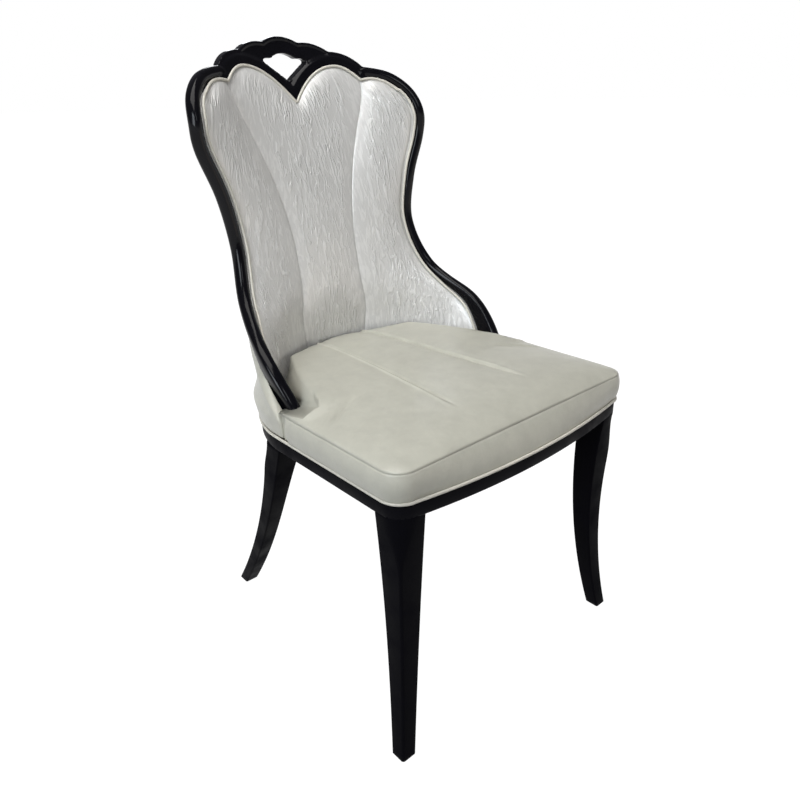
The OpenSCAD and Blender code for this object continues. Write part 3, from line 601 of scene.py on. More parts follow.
def lining_face(u, v, step=0.004):
    du = lining(np.minimum(1, u + step), v) - lining(np.maximum(-1, u - step), v)
    dv = lining(u, np.minimum(1, v + step)) - lining(u, np.maximum(0, v - step))
    return unit(np.cross(du, dv))


def behind(u, v, d):
    p = lining(u, v) - lining_face(u, v) * np.asarray(d)[..., None]
    p[..., 2] = np.maximum(p[..., 2], SILL_TOP + FIT)
    return p


def top_line():
    u = np.linspace(-1, 1, 241)
    return lining(u, np.ones(241))


def swell(u, v, pad):
    """Height of the padding: each channel swells between the seams and the piping."""
    p = lining(u, v)
    below = np.full(p.shape[:-1], 99.0)
    high = p[..., 2] > VEE_Z - 60
    below[high] = nearest(p[high], top_line())
    rounded = (1 - (1 - np.clip(below / 30, 0, 1)) ** 2) ** 0.7
    e = np.abs(u)
    edge = mix(0.984, 0.95, v)
    c = np.where(e < CHANNEL_U, 0.5 + e / CHANNEL_U / 2, (e - CHANNEL_U) / (edge - CHANNEL_U))
    full = np.maximum(0, np.sin(np.pi * np.clip(c, 0, 1))) ** 0.6
    return pad * full * np.minimum(1, SEAT_SWELL + 2 * v) * rounded


def lining_columns():
    t = np.linspace(0, 1, 27)
    inner = CHANNEL_U * np.sin(t * np.pi / 2)
    outer = CHANNEL_U + (1 - CHANNEL_U) * (1 - np.cos(np.pi * np.linspace(0, 1, 45))) / 2
    right = np.concatenate([inner, outer[1:]])
    return np.concatenate([-right[:0:-1], right])


def lining_rows():
    t = np.linspace(0, 1, 110)
    return t + 0.1 * np.sin(np.pi * t) * t


def pulled_wrinkles(u, v):
    """Small pulls in the leather beside the seams and down at the seat, in millimetres."""
    e = np.abs(u)
    beside = hump(e - CHANNEL_U, 0.09) * (1 - hump(e - CHANNEL_U, 0.012))
    ripple = np.sin(95 * v + 9 * u) * np.sin(31 * v + 2) * beside * 0.35
    foot = hump(v, 0.12) * np.sin(38 * u + 3 * np.sin(9 * u)) * 0.5
    rolling = 0.45 * np.sin(7 * v + 5 * u) * np.sin(11 * u + 1.3) * (1 - e ** 6) * (1 - v ** 6)
    return ripple + foot + rolling


# The outer leather

def bulge(z):
    return SKIRT_BULGE * np.sin(np.pi / 2 * np.clip((z - RAIL_TOP) / SKIRT_BULGE_H, 0, 1))


def skirt_point(u, z, out):
    a = np.abs(u) * 100
    w = HALF_W + out + bulge(z)
    b = BACK_DEPTH + out + bulge(z)
    k = mix(SCOOP, 1, np.clip((z - BAND_TOP) / (RAIL_TOP - BAND_TOP), 0, 1))
    turn = np.radians(np.minimum(a, 90))
    x = w * np.sin(turn) ** k
    y = SIDE_STRAIGHT + b * np.maximum(0, np.cos(turn)) ** k
    y = np.where(a < 90, y, mix(SIDE_STRAIGHT, PANEL_FRONT_Y, (a - 90) / 10))
    return points(np.sign(u) * x, y, z)


def fullness(u, z):
    return (1 - ease((z - 560) / 190)) * (1 - np.abs(u) ** 8 * ease((z - SEAM_Z) / 50))


def hung(u, v, d):
    """A point of the outer leather, which hangs over the skirt where that lies outside the shell."""
    p = behind(u, v, SHELL_BACK + FIT + d)
    skirt = skirt_point(u, p[..., 2], FIT + d - 0.5)
    out = -lining_face(u, v)
    away = np.maximum(0, np.sum((skirt - p) * out, axis=-1, keepdims=True))
    low = mix(skirt, p + out * away, ease((p[..., 2] - RAIL_TOP) / 60)[..., None])
    return mix(p, low, fullness(u, p[..., 2])[..., None])


def rim_side(v, d, side):
    """Where the outer leather is tacked, on the side of the rim."""
    place, out, face = rim_axes(v * SHOULDER_Q)
    return (place + out * (RIM_W / 2 - 3 + d) - face * 4) * (side, 1, 1)


# The cushion

CORNER_CUT = CORNER_R * (1 - math.sin(math.radians(45)))
CUSHION_A = LINING_A - 0.6
CUSHION_B = LINING_B - 0.6
CUSHION_BACK_Y = SIDE_STRAIGHT + LINING_B * 0.69
CUSHION_HALF = 253
CUSHION_MIDDLE_Y = 200
CUSHION_UNDER_Z = RAIL_TOP + 12
SEAM_ROLL = 5.2
SEAM_DROP = 5.4
CHEEK = 12


def cushion_half(y):
    """Half the width at y: the rounded corner, the side, the notch at the rim's foot, the scooped rear."""
    corner = BOX_W - CORNER_R + np.sqrt(np.maximum(0, CORNER_R ** 2 - (CORNER_R - y) ** 2))
    past = np.maximum(y - SIDE_STRAIGHT, 0) / CUSHION_B
    scooped = CUSHION_A * np.maximum(0, 1 - past ** (2 / SCOOP)) ** (SCOOP / 2)
    side = mix(BOX_W, scooped, ease((y - NOTCH_START) / (NOTCH_END - NOTCH_START)))
    return np.where(y < CORNER_R, corner, side)


def cushion_rear(x):
    past = np.minimum(1, np.abs(x) / CUSHION_A)
    return SIDE_STRAIGHT + CUSHION_B * np.maximum(0, 1 - past ** (2 / SCOOP)) ** (SCOOP / 2)


def cushion_front(x):
    e = np.maximum(0, np.abs(x) - (BOX_W - CORNER_R))
    return CORNER_R - np.sqrt(np.maximum(0, CORNER_R ** 2 - e * e))


def cushion_plan(u, v):
    """Where the cushion's points lie, seen from above."""
    y = mix(CORNER_CUT, CUSHION_BACK_Y, v)
    plain = mix(cushion_half(np.array(CORNER_CUT)), cushion_half(np.array(CUSHION_BACK_Y)), v)
    x = u * mix(plain, cushion_half(y), np.abs(u) ** 5)
    inside = np.where(np.abs(u) > 0.99999, 0, 1)
    y = y + (cushion_front(x) - CORNER_CUT) * (1 - v) ** 3 * inside
    return x, y + (cushion_rear(x) - CUSHION_BACK_Y) * v ** 2 * inside


def pleat_height(u, y, v, depth):
    """Two sewn tucks: a narrow valley with a small roll on its outer side."""
    away = (np.abs(u) - PLEAT_U) * CUSHION_HALF
    puckers = 1 + 0.35 * np.sin(y / 7.3 + 3 * np.sin(y / 31))
    profile = 0.8 * hump(away - 7.5, 4.6) - puckers * hump(away, 3.6) - 0.5 * hump(away, 24)
    return depth * profile * ease((v - 0.14) / 0.2)


def crease_height(x, y):
    """A soft fold from each side of the seat toward the nearer tuck."""
    inward = CUSHION_HALF - np.abs(x)
    t = np.clip(inward / 88, 0, 1)
    beyond = y - mix(146, 196, t) - 6 * np.sin(np.pi * t)
    along = ease((inward - 6) / 34) * (1 - ease((inward - 70) / 30))
    return along * (1.5 * hump(beyond - 11, 8) - 2.4 * hump(beyond, 5))


def cushion_top(u, v, x, y, crown, pleat_depth):
    """Height of the seat's top: crown, rolled seam, cheeks beside the rims, slight unevenness and folds."""
    e = np.abs(u)
    firm = mix(7, 40, ease((y - 195) / 50))
    dome = crown * 0.55 * (1 - e ** firm) * (1 - (1 - v) ** 11)
    broad = crown * 0.45 * (1 - u * u) * (1 - (2 * v - 1) ** 4)
    settled = 0.7 * np.sin(x / 41 + 0.6) * np.sin(y / 53) * (1 - u ** 6) * ease(v * 4) * ease((1 - v) * 4)
    edge = np.minimum(CUSHION_HALF * (1 - e), np.minimum(440 * v, 500 * (1 - v) + 6))
    roll = SEAM_ROLL * (1 - np.exp(-edge / 10)) - SEAM_DROP
    cheek = CHEEK * e ** 4 * (1 - e ** 80) * ease((y - 190) / 70)
    folds = pleat_height(u, y, v, pleat_depth) + crease_height(x, y)
    return SEAM_Z + roll + dome + broad + cheek + settled + folds


# Sizes and colours that a user would change

def number(name, default, low, high, description, **kind):
    return bpy.props.FloatProperty(name=name, description=description, default=default, min=low, max=high,
                                   **kind)


def length(name, default, low, high, description):
    return number(name, default, low, high, description, unit="LENGTH")


def gloss(name, default, high, description):
    return number(name, default, 0.02, high, description, subtype="FACTOR")


def tint(name, default, description):
    return bpy.props.FloatVectorProperty(name=name, description=description, default=default, min=0, max=1,
                                         subtype="COLOR")


class ChairUpholstery(bpy.types.PropertyGroup):
    pad: length("Channel padding", PAD * MM, 0.004, 0.014, "Height of the padding in each channel")
    crown: length("Seat crown", CROWN * MM, 0.01, 0.026, "Height of the seat above its seam")
    pleat: length("Tuck depth", 0.0034, 0, 0.006, "Depth of the two tucks in the seat")
    cord: length("Piping", PIPING_D * MM, 0.003, 0.006, "Thickness of the piping")
    seat_colour: tint("Seat leather", (0.50, 0.492, 0.42), "Colour of the seat and the outer back")
    back_colour: tint("Pearl leather", (0.7, 0.682, 0.648), "Colour of the lining of the back")
    cord_colour: tint("Piping leather", (0.66, 0.635, 0.56), "Colour of the piping")


class ChairWoodwork(bpy.types.PropertyGroup):
    lacquer: tint("Lacquer", (0.0035, 0.0034, 0.0048), "Colour of the lacquer")
    rim_roughness: gloss("Rim gloss", 0.1, 0.5, "Roughness of the rim and crest")
    leg_roughness: gloss("Leg gloss", 0.42, 0.6, "Roughness of the legs and rails")
    edge: length("Eased edge", 0.003, 0.001, 0.006, "Radius of the eased edges of the legs")


class ChairStage(bpy.types.PropertyGroup):
    floor_colour: tint("Floor", (0.9, 0.9, 0.9), "Colour of the floor")
    key_power: number("Key light", 47, 0, 400, "Power of the main light in watts")


# Wood

def both_sides(mesh):
    """A mesh of the right side and its mirror image."""
    verts, faces = mesh
    return [(verts, faces), (mirrored(verts), [f[::-1] for f in faces])]


def joined_meshes(meshes):
    """Points and faces of many meshes as one."""
    verts, faces = [], []
    for v, f in meshes:
        start = sum(len(w) for w in verts)
        verts.append(v)
        faces += [tuple(i + start for i in face) for face in f]
    return np.concatenate(verts), faces


def rounded_square(x0, x1, y0, y1, radii, steps=7):
    """Section of a leg, anticlockwise; radii belong to the corners x0y0, x1y0, x1y1 and x0y1."""
    corners = [(x0, y0, 1, 1, 180), (x1, y0, -1, 1, 270), (x1, y1, -1, -1, 0), (x0, y1, 1, -1, 90)]
    ring = []
    for (x, y, sx, sy, start), r in zip(corners, radii):
        for a in np.radians(np.linspace(start, start + 90, steps)):
            ring.append((x + sx * r + r * math.cos(a), y + sy * r + r * math.sin(a)))
    return np.array(ring)


def lofted(sections, heights):
    """A solid through plan sections, one at each height."""
    rings = np.array([np.column_stack([s, np.full(len(s), z)]) for s, z in zip(sections, heights)])
    return tube_mesh(rings, closed=False)


def leg_size(z):
    u = z / RAIL_BOTTOM
    return mix(FOOT_S, LEG_S, 0.7 * u + 0.3 * u * u)


def splay(z):
    if z < WAIST_Z:
        return (LEG_HOLLOW + FOOT_OUT) * (1 - z / WAIST_Z) ** 2 - LEG_HOLLOW
    return LEG_HOLLOW * ((z - WAIST_Z) / (RAIL_BOTTOM - WAIST_Z)) ** 2 - LEG_HOLLOW


def front_leg_mesh(edge):
    heights = np.append(np.linspace(GLIDE_H, RAIL_BOTTOM, 60), RAIL_BOTTOM + 1.5 * edge)
    sections = []
    for z in heights:
        level = min(z, RAIL_BOTTOM)
        out, size = splay(level) - 0.05, leg_size(level)
        rounding = ease((z - FRONT_ROUND_Z) / (RAIL_BOTTOM - FRONT_ROUND_Z)) ** 2
        corner = min(mix(edge + 1.5, CORNER_R - 0.5, rounding), size - edge)
        sections.append(rounded_square(HALF_W + out - size, HALF_W + out, -out, size - out,
                                       (edge, corner, edge, edge)))
    return lofted(sections, heights)


def rear_leg_mid(z):
    q = 1 - z / RAIL_BOTTOM
    return SIDE_STRAIGHT + REAR_LEG_S / 2 + REAR_RAKE * (0.605 * q + 0.395 * q * q)


def rear_leg_size(z):
    u = z / RAIL_BOTTOM
    return FOOT_S + (REAR_LEG_S - FOOT_S) * (0.2 * u + 0.8 * u ** 5)


def rear_leg_mesh(edge):
    heights = np.linspace(GLIDE_H, RAIL_BOTTOM, 60)
    sections = []
    for z in heights:
        size, y = rear_leg_size(z), rear_leg_mid(z)
        x = HALF_W - 3 - REAR_TUCK * (1 - z / RAIL_BOTTOM)
        corner = mix(edge, REAR_ROUND_R, ease((z - REAR_ROUND_Z) / (RAIL_BOTTOM - REAR_ROUND_Z)))
        sections.append(rounded_square(x - size, x, y - size / 2, y + size / 2, (edge, edge, corner, edge)))
    return lofted(sections, heights)


class CHAIR_OT_legs(bpy.types.Operator):
    """Lofts the four curved legs with eased edges"""
    bl_idname = "dining_chair.legs"
    bl_label = "Legs"

    def execute(self, context):
        wood = context.scene.chair_woodwork
        finish = lacquer("satin_black_lacquer", wood.lacquer, wood.leg_roughness, 0.01)
        for place, mesh in (("front", front_leg_mesh), ("rear", rear_leg_mesh)):
            for side, (verts, faces) in zip(("right", "left"), both_sides(mesh(wood.edge / MM))):
                node = f"{place}_leg_{side}"
                piece = make_piece(f"{node}_finished", verts, faces, finish)
                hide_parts(node)
        return {"FINISHED"}


class CHAIR_OT_band(bpy.types.Operator):
    """Sweeps the black band of the seat frame with its eased edges"""
    bl_idname = "dining_chair.band"
    bl_label = "Seat frame"

    def execute(self, context):
        wood = context.scene.chair_woodwork
        edge = wood.edge / MM
        step = LEATHER_T + 1.5
        profile = [(RAIL_T, RAIL_BOTTOM), (edge, RAIL_BOTTOM)]
        profile += [(edge - edge * math.sin(a), RAIL_BOTTOM + edge - edge * math.cos(a)) for a in (0.5, 1.05)]
        profile += [(0, RAIL_BOTTOM + edge), (0, BAND_TOP - 1), (0.8, BAND_TOP), (step, BAND_TOP + 0.2)]
        profile += [(step + 1, RAIL_TOP), (RAIL_T, RAIL_TOP)]
        bows = [FRONT_BOW] * 8 + [FRONT_BOW * 0.5] * 2
        rings = []
        for (inset, z), bow in zip(profile, bows):
            ring = frame_edge(inset, bow)
            rings.append(np.column_stack([ring, np.full(len(ring), z)]))
        verts, faces = tube_mesh(np.swapaxes(rings, 0, 1), closed=True)
        finish = lacquer("band_black_lacquer", wood.lacquer, wood.leg_roughness, 0.03)
        piece = make_piece("seat_frame_finished", verts, faces, finish)
        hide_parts("front_rail", "side_rail_left", "side_rail_right", "rear_rail")
        return {"FINISHED"}


def arc_points(p, q, sag, n):
    """Points of an arc from p to q that rises by sag at its middle, without its last point."""
    p, q = np.array(p, float), np.array(q, float)
    chord = np.linalg.norm(q - p)
    r = (chord * chord / 4 + sag * sag) / (2 * sag)
    half = math.asin(chord / 2 / r)
    along = (q - p) / chord
    up = np.array([-along[1], along[0]]) * (1 if along[0] > 0 else -1)
    a = np.linspace(-half, half, n + 1)[:-1, None]
    return (p + q) / 2 + along * r * np.sin(a) + up * (r * np.cos(a) - (r - sag))


CREST_CUSPS = [(JOINT_X + 5, 948.0), (89.3, 972.3), (35, CREST_Z - 9.2)]
HOLE_CORNER = (46, 957)
HOLE_CUSP = (26, 960)
HOLE_FOOT = (0, VEE_Z + 34)
PLATE_VOXEL = 1.8
RIM_VOXEL = 1.5
TONGUE_HALF_T = 6.5
TONGUE_BACK = 9.8


def flipped(p):
    return (-p[0], p[1])


def scallops():
    """The crest's scalloped top from right to left."""
    a, b, c = CREST_CUSPS
    return np.concatenate([
        arc_points(a, b, 7, 14), arc_points(b, c, 5.5, 14), arc_points(c, flipped(c), 9.2, 20),
        arc_points(flipped(c), flipped(b), 5.5, 14), arc_points(flipped(b), flipped(a), 7, 14), [flipped(a)]])


def crest_outlines():
    x = np.linspace(-CREST_CUSPS[0][0], CREST_CUSPS[0][0], 121)
    lower = points(x, top_edge(x) - 0.8 - 3.5 * hump(x, 4.5))
    corner, cusp = HOLE_CORNER, HOLE_CUSP
    hole = np.concatenate([
        [HOLE_FOOT], arc_points(corner, cusp, 2, 6), arc_points(cusp, flipped(cusp), 8.5, 12),
        arc_points(flipped(cusp), flipped(corner), 2, 6), [flipped(corner)]])
    return np.concatenate([lower, scallops()]), hole


def flat_plate(outlines, half_depth):
    """A plate in the plane of its outlines, with holes, as a mesh in millimetres."""
    curve = bpy.data.curves.new("crest_outline", "CURVE")
    curve.dimensions = "2D"
    curve.fill_mode = "BOTH"
    curve.extrude = half_depth
    for outline in outlines:
        spline = curve.splines.new("POLY")
        spline.points.add(len(outline) - 1)
        flat = np.column_stack([outline, np.zeros(len(outline)), np.ones(len(outline))])
        spline.points.foreach_set("co", flat.ravel())
        spline.use_cyclic_u = True
    draft = new_object("crest_draft", curve)
    mesh = evaluated_mesh(draft)
    bpy.data.objects.remove(draft)
    bpy.data.curves.remove(curve)
    return mesh


def remeshed_plate(outlines, half_depth):
    """The plate as an even mesh: points and faces in millimetres."""
    draft = new_object("crest_draft", flat_plate(outlines, half_depth))
    voxel_joined(draft, PLATE_VOXEL)
    verts = np.empty(len(draft.data.vertices) * 3)
    draft.data.vertices.foreach_get("co", verts)
    faces = [tuple(p.vertices) for p in draft.data.polygons]
    bpy.data.objects.remove(draft)
    return verts.reshape(-1, 3), faces


def leaned(x, z, depth):
    """Points of a flat plate, leaned and bent like the back; depth is counted from the lining."""
    slope = LEAN + 2 * LEAN_GROWTH * (CREST_MID_Z - LEAN_FROM_Z)
    y = mid_y(CREST_MID_Z) + (z - CREST_MID_Z) * slope - x ** 2 / (2 * TOP_R)
    return points(x, y + depth * math.hypot(1, slope), z)


def crest_mesh():
    """The crest: a moulded plate with a sunk middle inside a raised edge."""
    verts, faces = remeshed_plate(crest_outlines(), RIM_D / 2)
    flat = verts[:, :2]
    x = np.linspace(-CREST_CUSPS[0][0], CREST_CUSPS[0][0], 400)
    band = nearest(flat, points(x, top_edge(x)))
    edge = nearest(flat, scallops())
    front = verts[:, 2] < -RIM_D / 2 + 2
    hollow = 2.2 * ease((band - 15) / 5) * ease((edge - 3) / 4) + 2.2 * ease((band - 15) / 4)
    return leaned(flat[:, 0], flat[:, 1], verts[:, 2] + RIM_SINK + np.where(front, hollow, 0)), faces


def tongue_mesh():
    """The crest's lower edge behind the lining, where the shell is screwed to it."""
    x = np.linspace(-CUSP[0] - 4, CUSP[0] + 4, 121)
    outline = np.concatenate([points(x, top_edge(x) - 8), points(-x, top_edge(x) + 6)])
    verts, faces = remeshed_plate((outline,), TONGUE_HALF_T)
    return leaned(verts[:, 0], verts[:, 1], verts[:, 2] + TONGUE_BACK), faces


def rim_section(sides=28):
    a = np.linspace(0, 2 * np.pi, sides, endpoint=False)
    return RIM_W / 2 * keep_sign(np.cos(a), 0.8), RIM_D / 2 * keep_sign(np.sin(a), 0.8)


def rim_mesh():
    """The right rim, from inside the crest's end down to the sill."""
    q = np.linspace(0.0, 1.0, 150)
    across, deep = rim_section()
    place, out, face = rim_axes(q)
    widened = RIM_FOOT_WIDER * (1 - ease(q / RIM_FOOT_SHARE))[:, None] * (across > 0)[None]
    across = across[None] + widened * np.clip(across / 5, 0, 1)[None]
    rings = place[:, None] + out[:, None] * across[..., None] + face[:, None] * deep[None, :, None]
    foot = rings[0] + RIM_FOOT_OUT * out[0] + (0, -RIM_FOOT_AHEAD, -RIM_FOOT_BELOW)
    return tube_mesh(np.concatenate([foot[None], rings]), closed=False)


def lip_mesh():
    """A rebate from the right rim's inner side to the lining's edge, where the two part at the shoulder."""
    q = np.linspace(0.55, 0.985, 90)
    place, out, face = rim_axes(q)
    share = np.linspace(0, 1, 200)
    edge = np.concatenate([lining(share, 1), lining(1, np.linspace(0.3, 1, 200))])
    gap = nearest(place - out * RIM_W / 2, edge)
    near, far = -RIM_W / 2 + 4 + 0 * q, -RIM_W / 2 - gap - 2.5
    front, rear = RIM_SINK - 1.2, -3.0
    corners = [(near, rear), (near, front), (far, front), (far, rear)]
    rings = np.stack([place + out * a[:, None] + face * d for a, d in corners], axis=1)
    return tube_mesh(rings, closed=False)


class CHAIR_OT_rim(bpy.types.Operator):
    """Carves the rim and the scalloped crest as one flowing piece"""
    bl_idname = "dining_chair.rim"
    bl_label = "Rim and crest"

    def execute(self, context):
        wood = context.scene.chair_woodwork
        rims, lips = both_sides(rim_mesh()), both_sides(lip_mesh())
        verts, faces = joined_meshes(rims + lips + [crest_mesh(), tongue_mesh()])
        finish = lacquer("gloss_black_lacquer", wood.lacquer, wood.rim_roughness, 0.16)
        piece = make_piece("rim_and_crest", verts, faces, finish)
        voxel_joined(piece, RIM_VOXEL * MM)
        softened(piece, 7)
        piece.data.polygons.foreach_set("use_smooth", [True] * len(piece.data.polygons))
        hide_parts("rim_left", "rim_right", "crest_rail")
        return {"FINISHED"}


# Leather

class CHAIR_OT_lining(bpy.types.Operator):
    """Stretches the pearl leather over the three padded channels"""
    bl_idname = "dining_chair.lining"
    bl_label = "Lining of the back"

    def execute(self, context):
        soft = context.scene.chair_upholstery
        u, v = np.meshgrid(lining_columns(), lining_rows())
        front = behind(u, v, -swell(u, v, soft.pad / MM) - pulled_wrinkles(u, v))
        back = behind(u, v, np.full(u.shape, PAD_BACK))
        plain = lining(u, v)
        across = walked(plain, 1)
        across -= across[:, across.shape[1] // 2, None]
        uv = np.stack([across, walked(plain, 0)], axis=-1) * MM
        finish = bark_leather("pearl_bark_leather", soft.back_colour)
        piece = closed_sheet("back_lining", front, back, finish, uv)
        e = np.abs(u)
        loose = ease((np.abs(e - CHANNEL_U) - 0.05) / 0.1) * ease((0.97 - e) / 0.12) * ease((0.98 - v) / 0.08)
        layer = piece.data.attributes.new("loose", "FLOAT", "POINT")
        layer.data.foreach_set("value", np.concatenate([loose.ravel()] * 2))
        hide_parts("back_cover_inner", "back_foam")
        return {"FINISHED"}


class CHAIR_OT_outer_back(bpy.types.Operator):
    """Hangs the outer leather from the rim down to the piping"""
    bl_idname = "dining_chair.outer_back"
    bl_label = "Outer back"

    def execute(self, context):
        soft = context.scene.chair_upholstery
        us = np.linspace(-1, 1, 121)
        u, v = np.meshgrid(us, np.linspace(0, 1, 80))
        sheets = []
        for d in (LEATHER_T, 0.2):
            low_u, low_z = np.meshgrid(us, np.linspace(BAND_TOP + PIPING_D - 1, SILL_TOP - 2, 8))
            low = skirt_point(low_u, low_z, FIT + d - 0.5)
            hems = [rim_side(v[:, :1], d, side) for side in (-1, 1)]
            feet = [points(h[:1, :, 0], h[:1, :, 1], low_z[:, :1]) for h in hems]
            sheets.append(np.concatenate([
                np.concatenate([feet[0], low, feet[1]], 1),
                np.concatenate([hems[0], hung(u, v, d), hems[1]], 1)]))
        finish = smooth_leather("outer_back_leather", soft.seat_colour)
        piece = closed_sheet("back_outer_panel", sheets[1], sheets[0], finish)
        softened(piece, 12)
        size, length = (float(walked(sheets[0], axis).max()) for axis in (1, 0))
        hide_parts("back_cover_outer")
        return {"FINISHED"}


def seat_columns():
    t = np.linspace(0, 1, 75)
    right = np.sort(np.concatenate([t, PLEAT_U + np.linspace(-0.06, 0.06, 25)]))
    return np.concatenate([-right[:0:-1], right])


def boxing(u, v, levels, crown, pleat):
    """Rings of the band of leather from the cushion's seam down to the piping, with its puckers."""
    x, y = cushion_plan(u, v)
    top = cushion_top(u, v, x, y, crown, pleat)
    outside = ease((PANEL_FRONT_Y + 2 - y) / 14)
    reach = np.clip(np.abs(x) / (HALF_W - CORNER_R), 0, 1)
    at_front = np.where(v < 1e-6, 1.0, 0.0)
    centre = points(x, y, 0 * x)
    out = np.cross(path_directions(centre, closed=True), (0, 0, 1))
    low = mix(CUSHION_UNDER_Z, BAND_TOP + PIPING_D * 0.6, ease((NOTCH_START - y) / 4))
    corner = hump(np.hypot(np.abs(x) - (HALF_W - 10), y - 10), 46)
    along = walked(centre, 0)
    rings = []
    for t in levels:
        bent = math.sin(math.pi * t)
        swelling = BOXING_SWELL * math.sin(math.pi * min(1, t * 1.05)) ** 0.8 if t > 0 else 0
        pucker = corner * 1.1 * bent * np.sin(along / 5.2) * (1 - t)
        ripple = 0.35 * np.sin(along / 23 + 2 * t) * bent
        push = outside * (swelling + pucker + ripple) - 4.0 * (1 - outside) * min(1, 8 * t)
        p = points(x, y - at_front * FRONT_BOW * (1 - reach ** 2) * t, mix(top, low, t))
        rings.append(p + out * push[:, None])
    return np.array(rings)


class CHAIR_OT_seat(bpy.types.Operator):
    """Sews the crowned seat cushion with its tucks, boxing and seam"""
    bl_idname = "dining_chair.seat"
    bl_label = "Seat cushion"

    def execute(self, context):
        soft = context.scene.chair_upholstery
        crown, pleat = soft.crown / MM, soft.pleat / MM
        rows_at = [np.linspace(0, 1, 110), np.linspace(0, 0.05, 8), np.linspace(0.56, 0.68, 40)]
        u, v = np.meshgrid(seat_columns(), np.unique(np.concatenate(rows_at)))
        x, y = cushion_plan(u, v)
        top = points(x, y, cushion_top(u, v, x, y, crown, pleat))
        rows, cols = u.shape
        border = grid_border(rows, cols)
        edge_u, edge_v = u.ravel()[border], v.ravel()[border]
        levels = np.concatenate([[0.012, 0.035, 0.07], np.linspace(0.12, 1, 16)])
        band = boxing(edge_u, edge_v, levels, crown, pleat)
        seam, foot = boxing(edge_u, edge_v, (0.0, 1.0), crown, pleat)
        inward = unit((0, CUSHION_MIDDLE_Y, 0) - seam * (1, 1, 0))
        band[0] += inward * SEAM_TUCK
        n, m = rows * cols, len(border)
        under = n + (len(levels) - 1) * m
        hub = under + 2 * m
        verts = np.concatenate([top.reshape(-1, 3), band.reshape(-1, 3), foot + inward * 6,
                                [(0, CUSHION_MIDDLE_Y, CUSHION_UNDER_Z)]])
        faces = grid_faces(rows, cols) + grid_faces(len(levels), m, n, flip=True, wrap=True)
        for i in range(m):
            k = (i + 1) % m
            faces += [(border[i], n + i, n + k, border[k]), (under + m + i, hub, under + m + k),
                      (under + i, under + m + i, under + m + k, under + k)]
        finish = smooth_leather("seat_leather_cream", soft.seat_colour)
        piece = make_piece("seat_cushion", verts, faces, finish)
        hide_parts("seat_cover", "seat_foam")
        return {"FINISHED"}


def back_cord_path(radius):
    """Round the lining's edge: up the left side, over the lobes and down the right side."""
    v = np.linspace(0.012, 0.995, 90)
    u = np.linspace(-1, 1, 260)
    us = np.concatenate([np.full(len(v), -1.0), u, np.full(len(v), 1.0)])
    vs = np.concatenate([v, np.full(len(u), 1.0), v[::-1]])
    edge = lining(us, vs)
    face = lining_face(us, vs)
    way = path_directions(edge, closed=False)
    inside = unit(np.cross(way, face))
    toward = lining(us * 0.97, np.minimum(vs, 0.97)) - edge
    inside = inside * np.sign(np.sum(inside * toward, axis=-1, keepdims=True))
    for _ in range(3):
        inside[1:-1] = unit(inside[:-2] + 2 * inside[1:-1] + inside[2:])
    return edge + inside * radius * 0.3 + face * (radius + 1.3)


class CHAIR_OT_piping(bpy.types.Operator):
    """Runs the cream piping round the lining and under the seat"""
    bl_idname = "dining_chair.piping"
    bl_label = "Piping"

    def execute(self, context):
        soft = context.scene.chair_upholstery
        radius = soft.cord / MM / 2
        finish = cord_leather("piping_cream_leather", soft.cord_colour)
        verts, faces = cord_mesh(back_cord_path(radius), radius, (0, -1, 0.2), closed=False)
        back = make_piece("back_cord", verts, faces, finish)
        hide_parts("back_piping")
        ring = frame_edge(PIPING_TUCK - radius)
        path = np.column_stack([ring, np.full(len(ring), BAND_TOP + radius + FIT - 0.8)])
        verts, faces = cord_mesh(path, radius, (0, 0, 1), closed=True)
        seat = make_piece("seat_cord", verts, faces, finish)
        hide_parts("seat_piping")
        return {"FINISHED"}


class CHAIR_OT_hidden_parts(bpy.types.Operator):
    """Finishes the parts of the frame that show only from below or inside"""
    bl_idname = "dining_chair.hidden_parts"
    bl_label = "Hidden parts"

    def execute(self, context):
        beech = raw_wood("raw_beech_grain", (0.48, 0.27, 0.1))
        ply = raw_wood("birch_plywood", (0.55, 0.37, 0.17), layers=True)
        steel = plated_steel("zinc_plated_steel", (0.55, 0.56, 0.6))
        nylon = moulded_nylon("black_nylon", (0.02, 0.02, 0.02))
        cloth = felted_cloth("black_lining_cloth", (0.012, 0.012, 0.013))
        finishes = {
            "leg_glides": nylon, "frame_dowels": beech, "corner_blocks": beech, "corner_block_screws": steel,
            "seat_board": ply, "seat_board_screws": steel, "dust_cover": cloth, "back_sill": beech,
            "back_sill_screws": steel, "back_shell": ply, "rim_dowels": beech,
        }
        for node, finish in finishes.items():
            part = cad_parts[node]
            for place in part.material_slots:
                place.material = finish
        return {"FINISHED"}


# Stage

CAMERA_AT = (-0.7242, -0.5469, 0.9036)
CAMERA_YAW = 0.7201
CAMERA_PITCH = 0.4194
CAMERA_ROLL = -0.0199
CAMERA_FOCUS_PX = 689
PHOTO_PX = 800
SENSOR_W = 36
FLOOR_SIDE = 60.0
FLOOR_GLOW = 1.2
FLOOR_GLOW_SHARE = 0.82
FLOOR_BOUNCE = 0.18
MIDDLE = (0, 0, 0.55)

# Name, place, target, width and height, share of the main light's power, colour
LIGHTS = (
    ("window", (-2.45, -0.75, 2.0), MIDDLE, (1.2, 1.3), 0.92, (0.88, 0.94, 1.0)),
    ("overhead", (-0.5, -0.1, 2.9), MIDDLE, (1.8, 1.8), 0.92, (1.0, 0.98, 0.95)),
    ("front_window", (-0.7, -2.4, 2.8), (0, 0, 0.8), (0.6, 0.9), 0.15, (0.92, 0.96, 1.0)),
    ("warm_fill", (1.3, -2.2, 0.5), (0, 0, 0.5), (1.6, 0.8), 0.06, (1.0, 0.8, 0.58)),
    ("behind", (1.6, 2.4, 1.8), MIDDLE, (1.2, 1.6), 0.35, (0.95, 0.97, 1.0)),
)


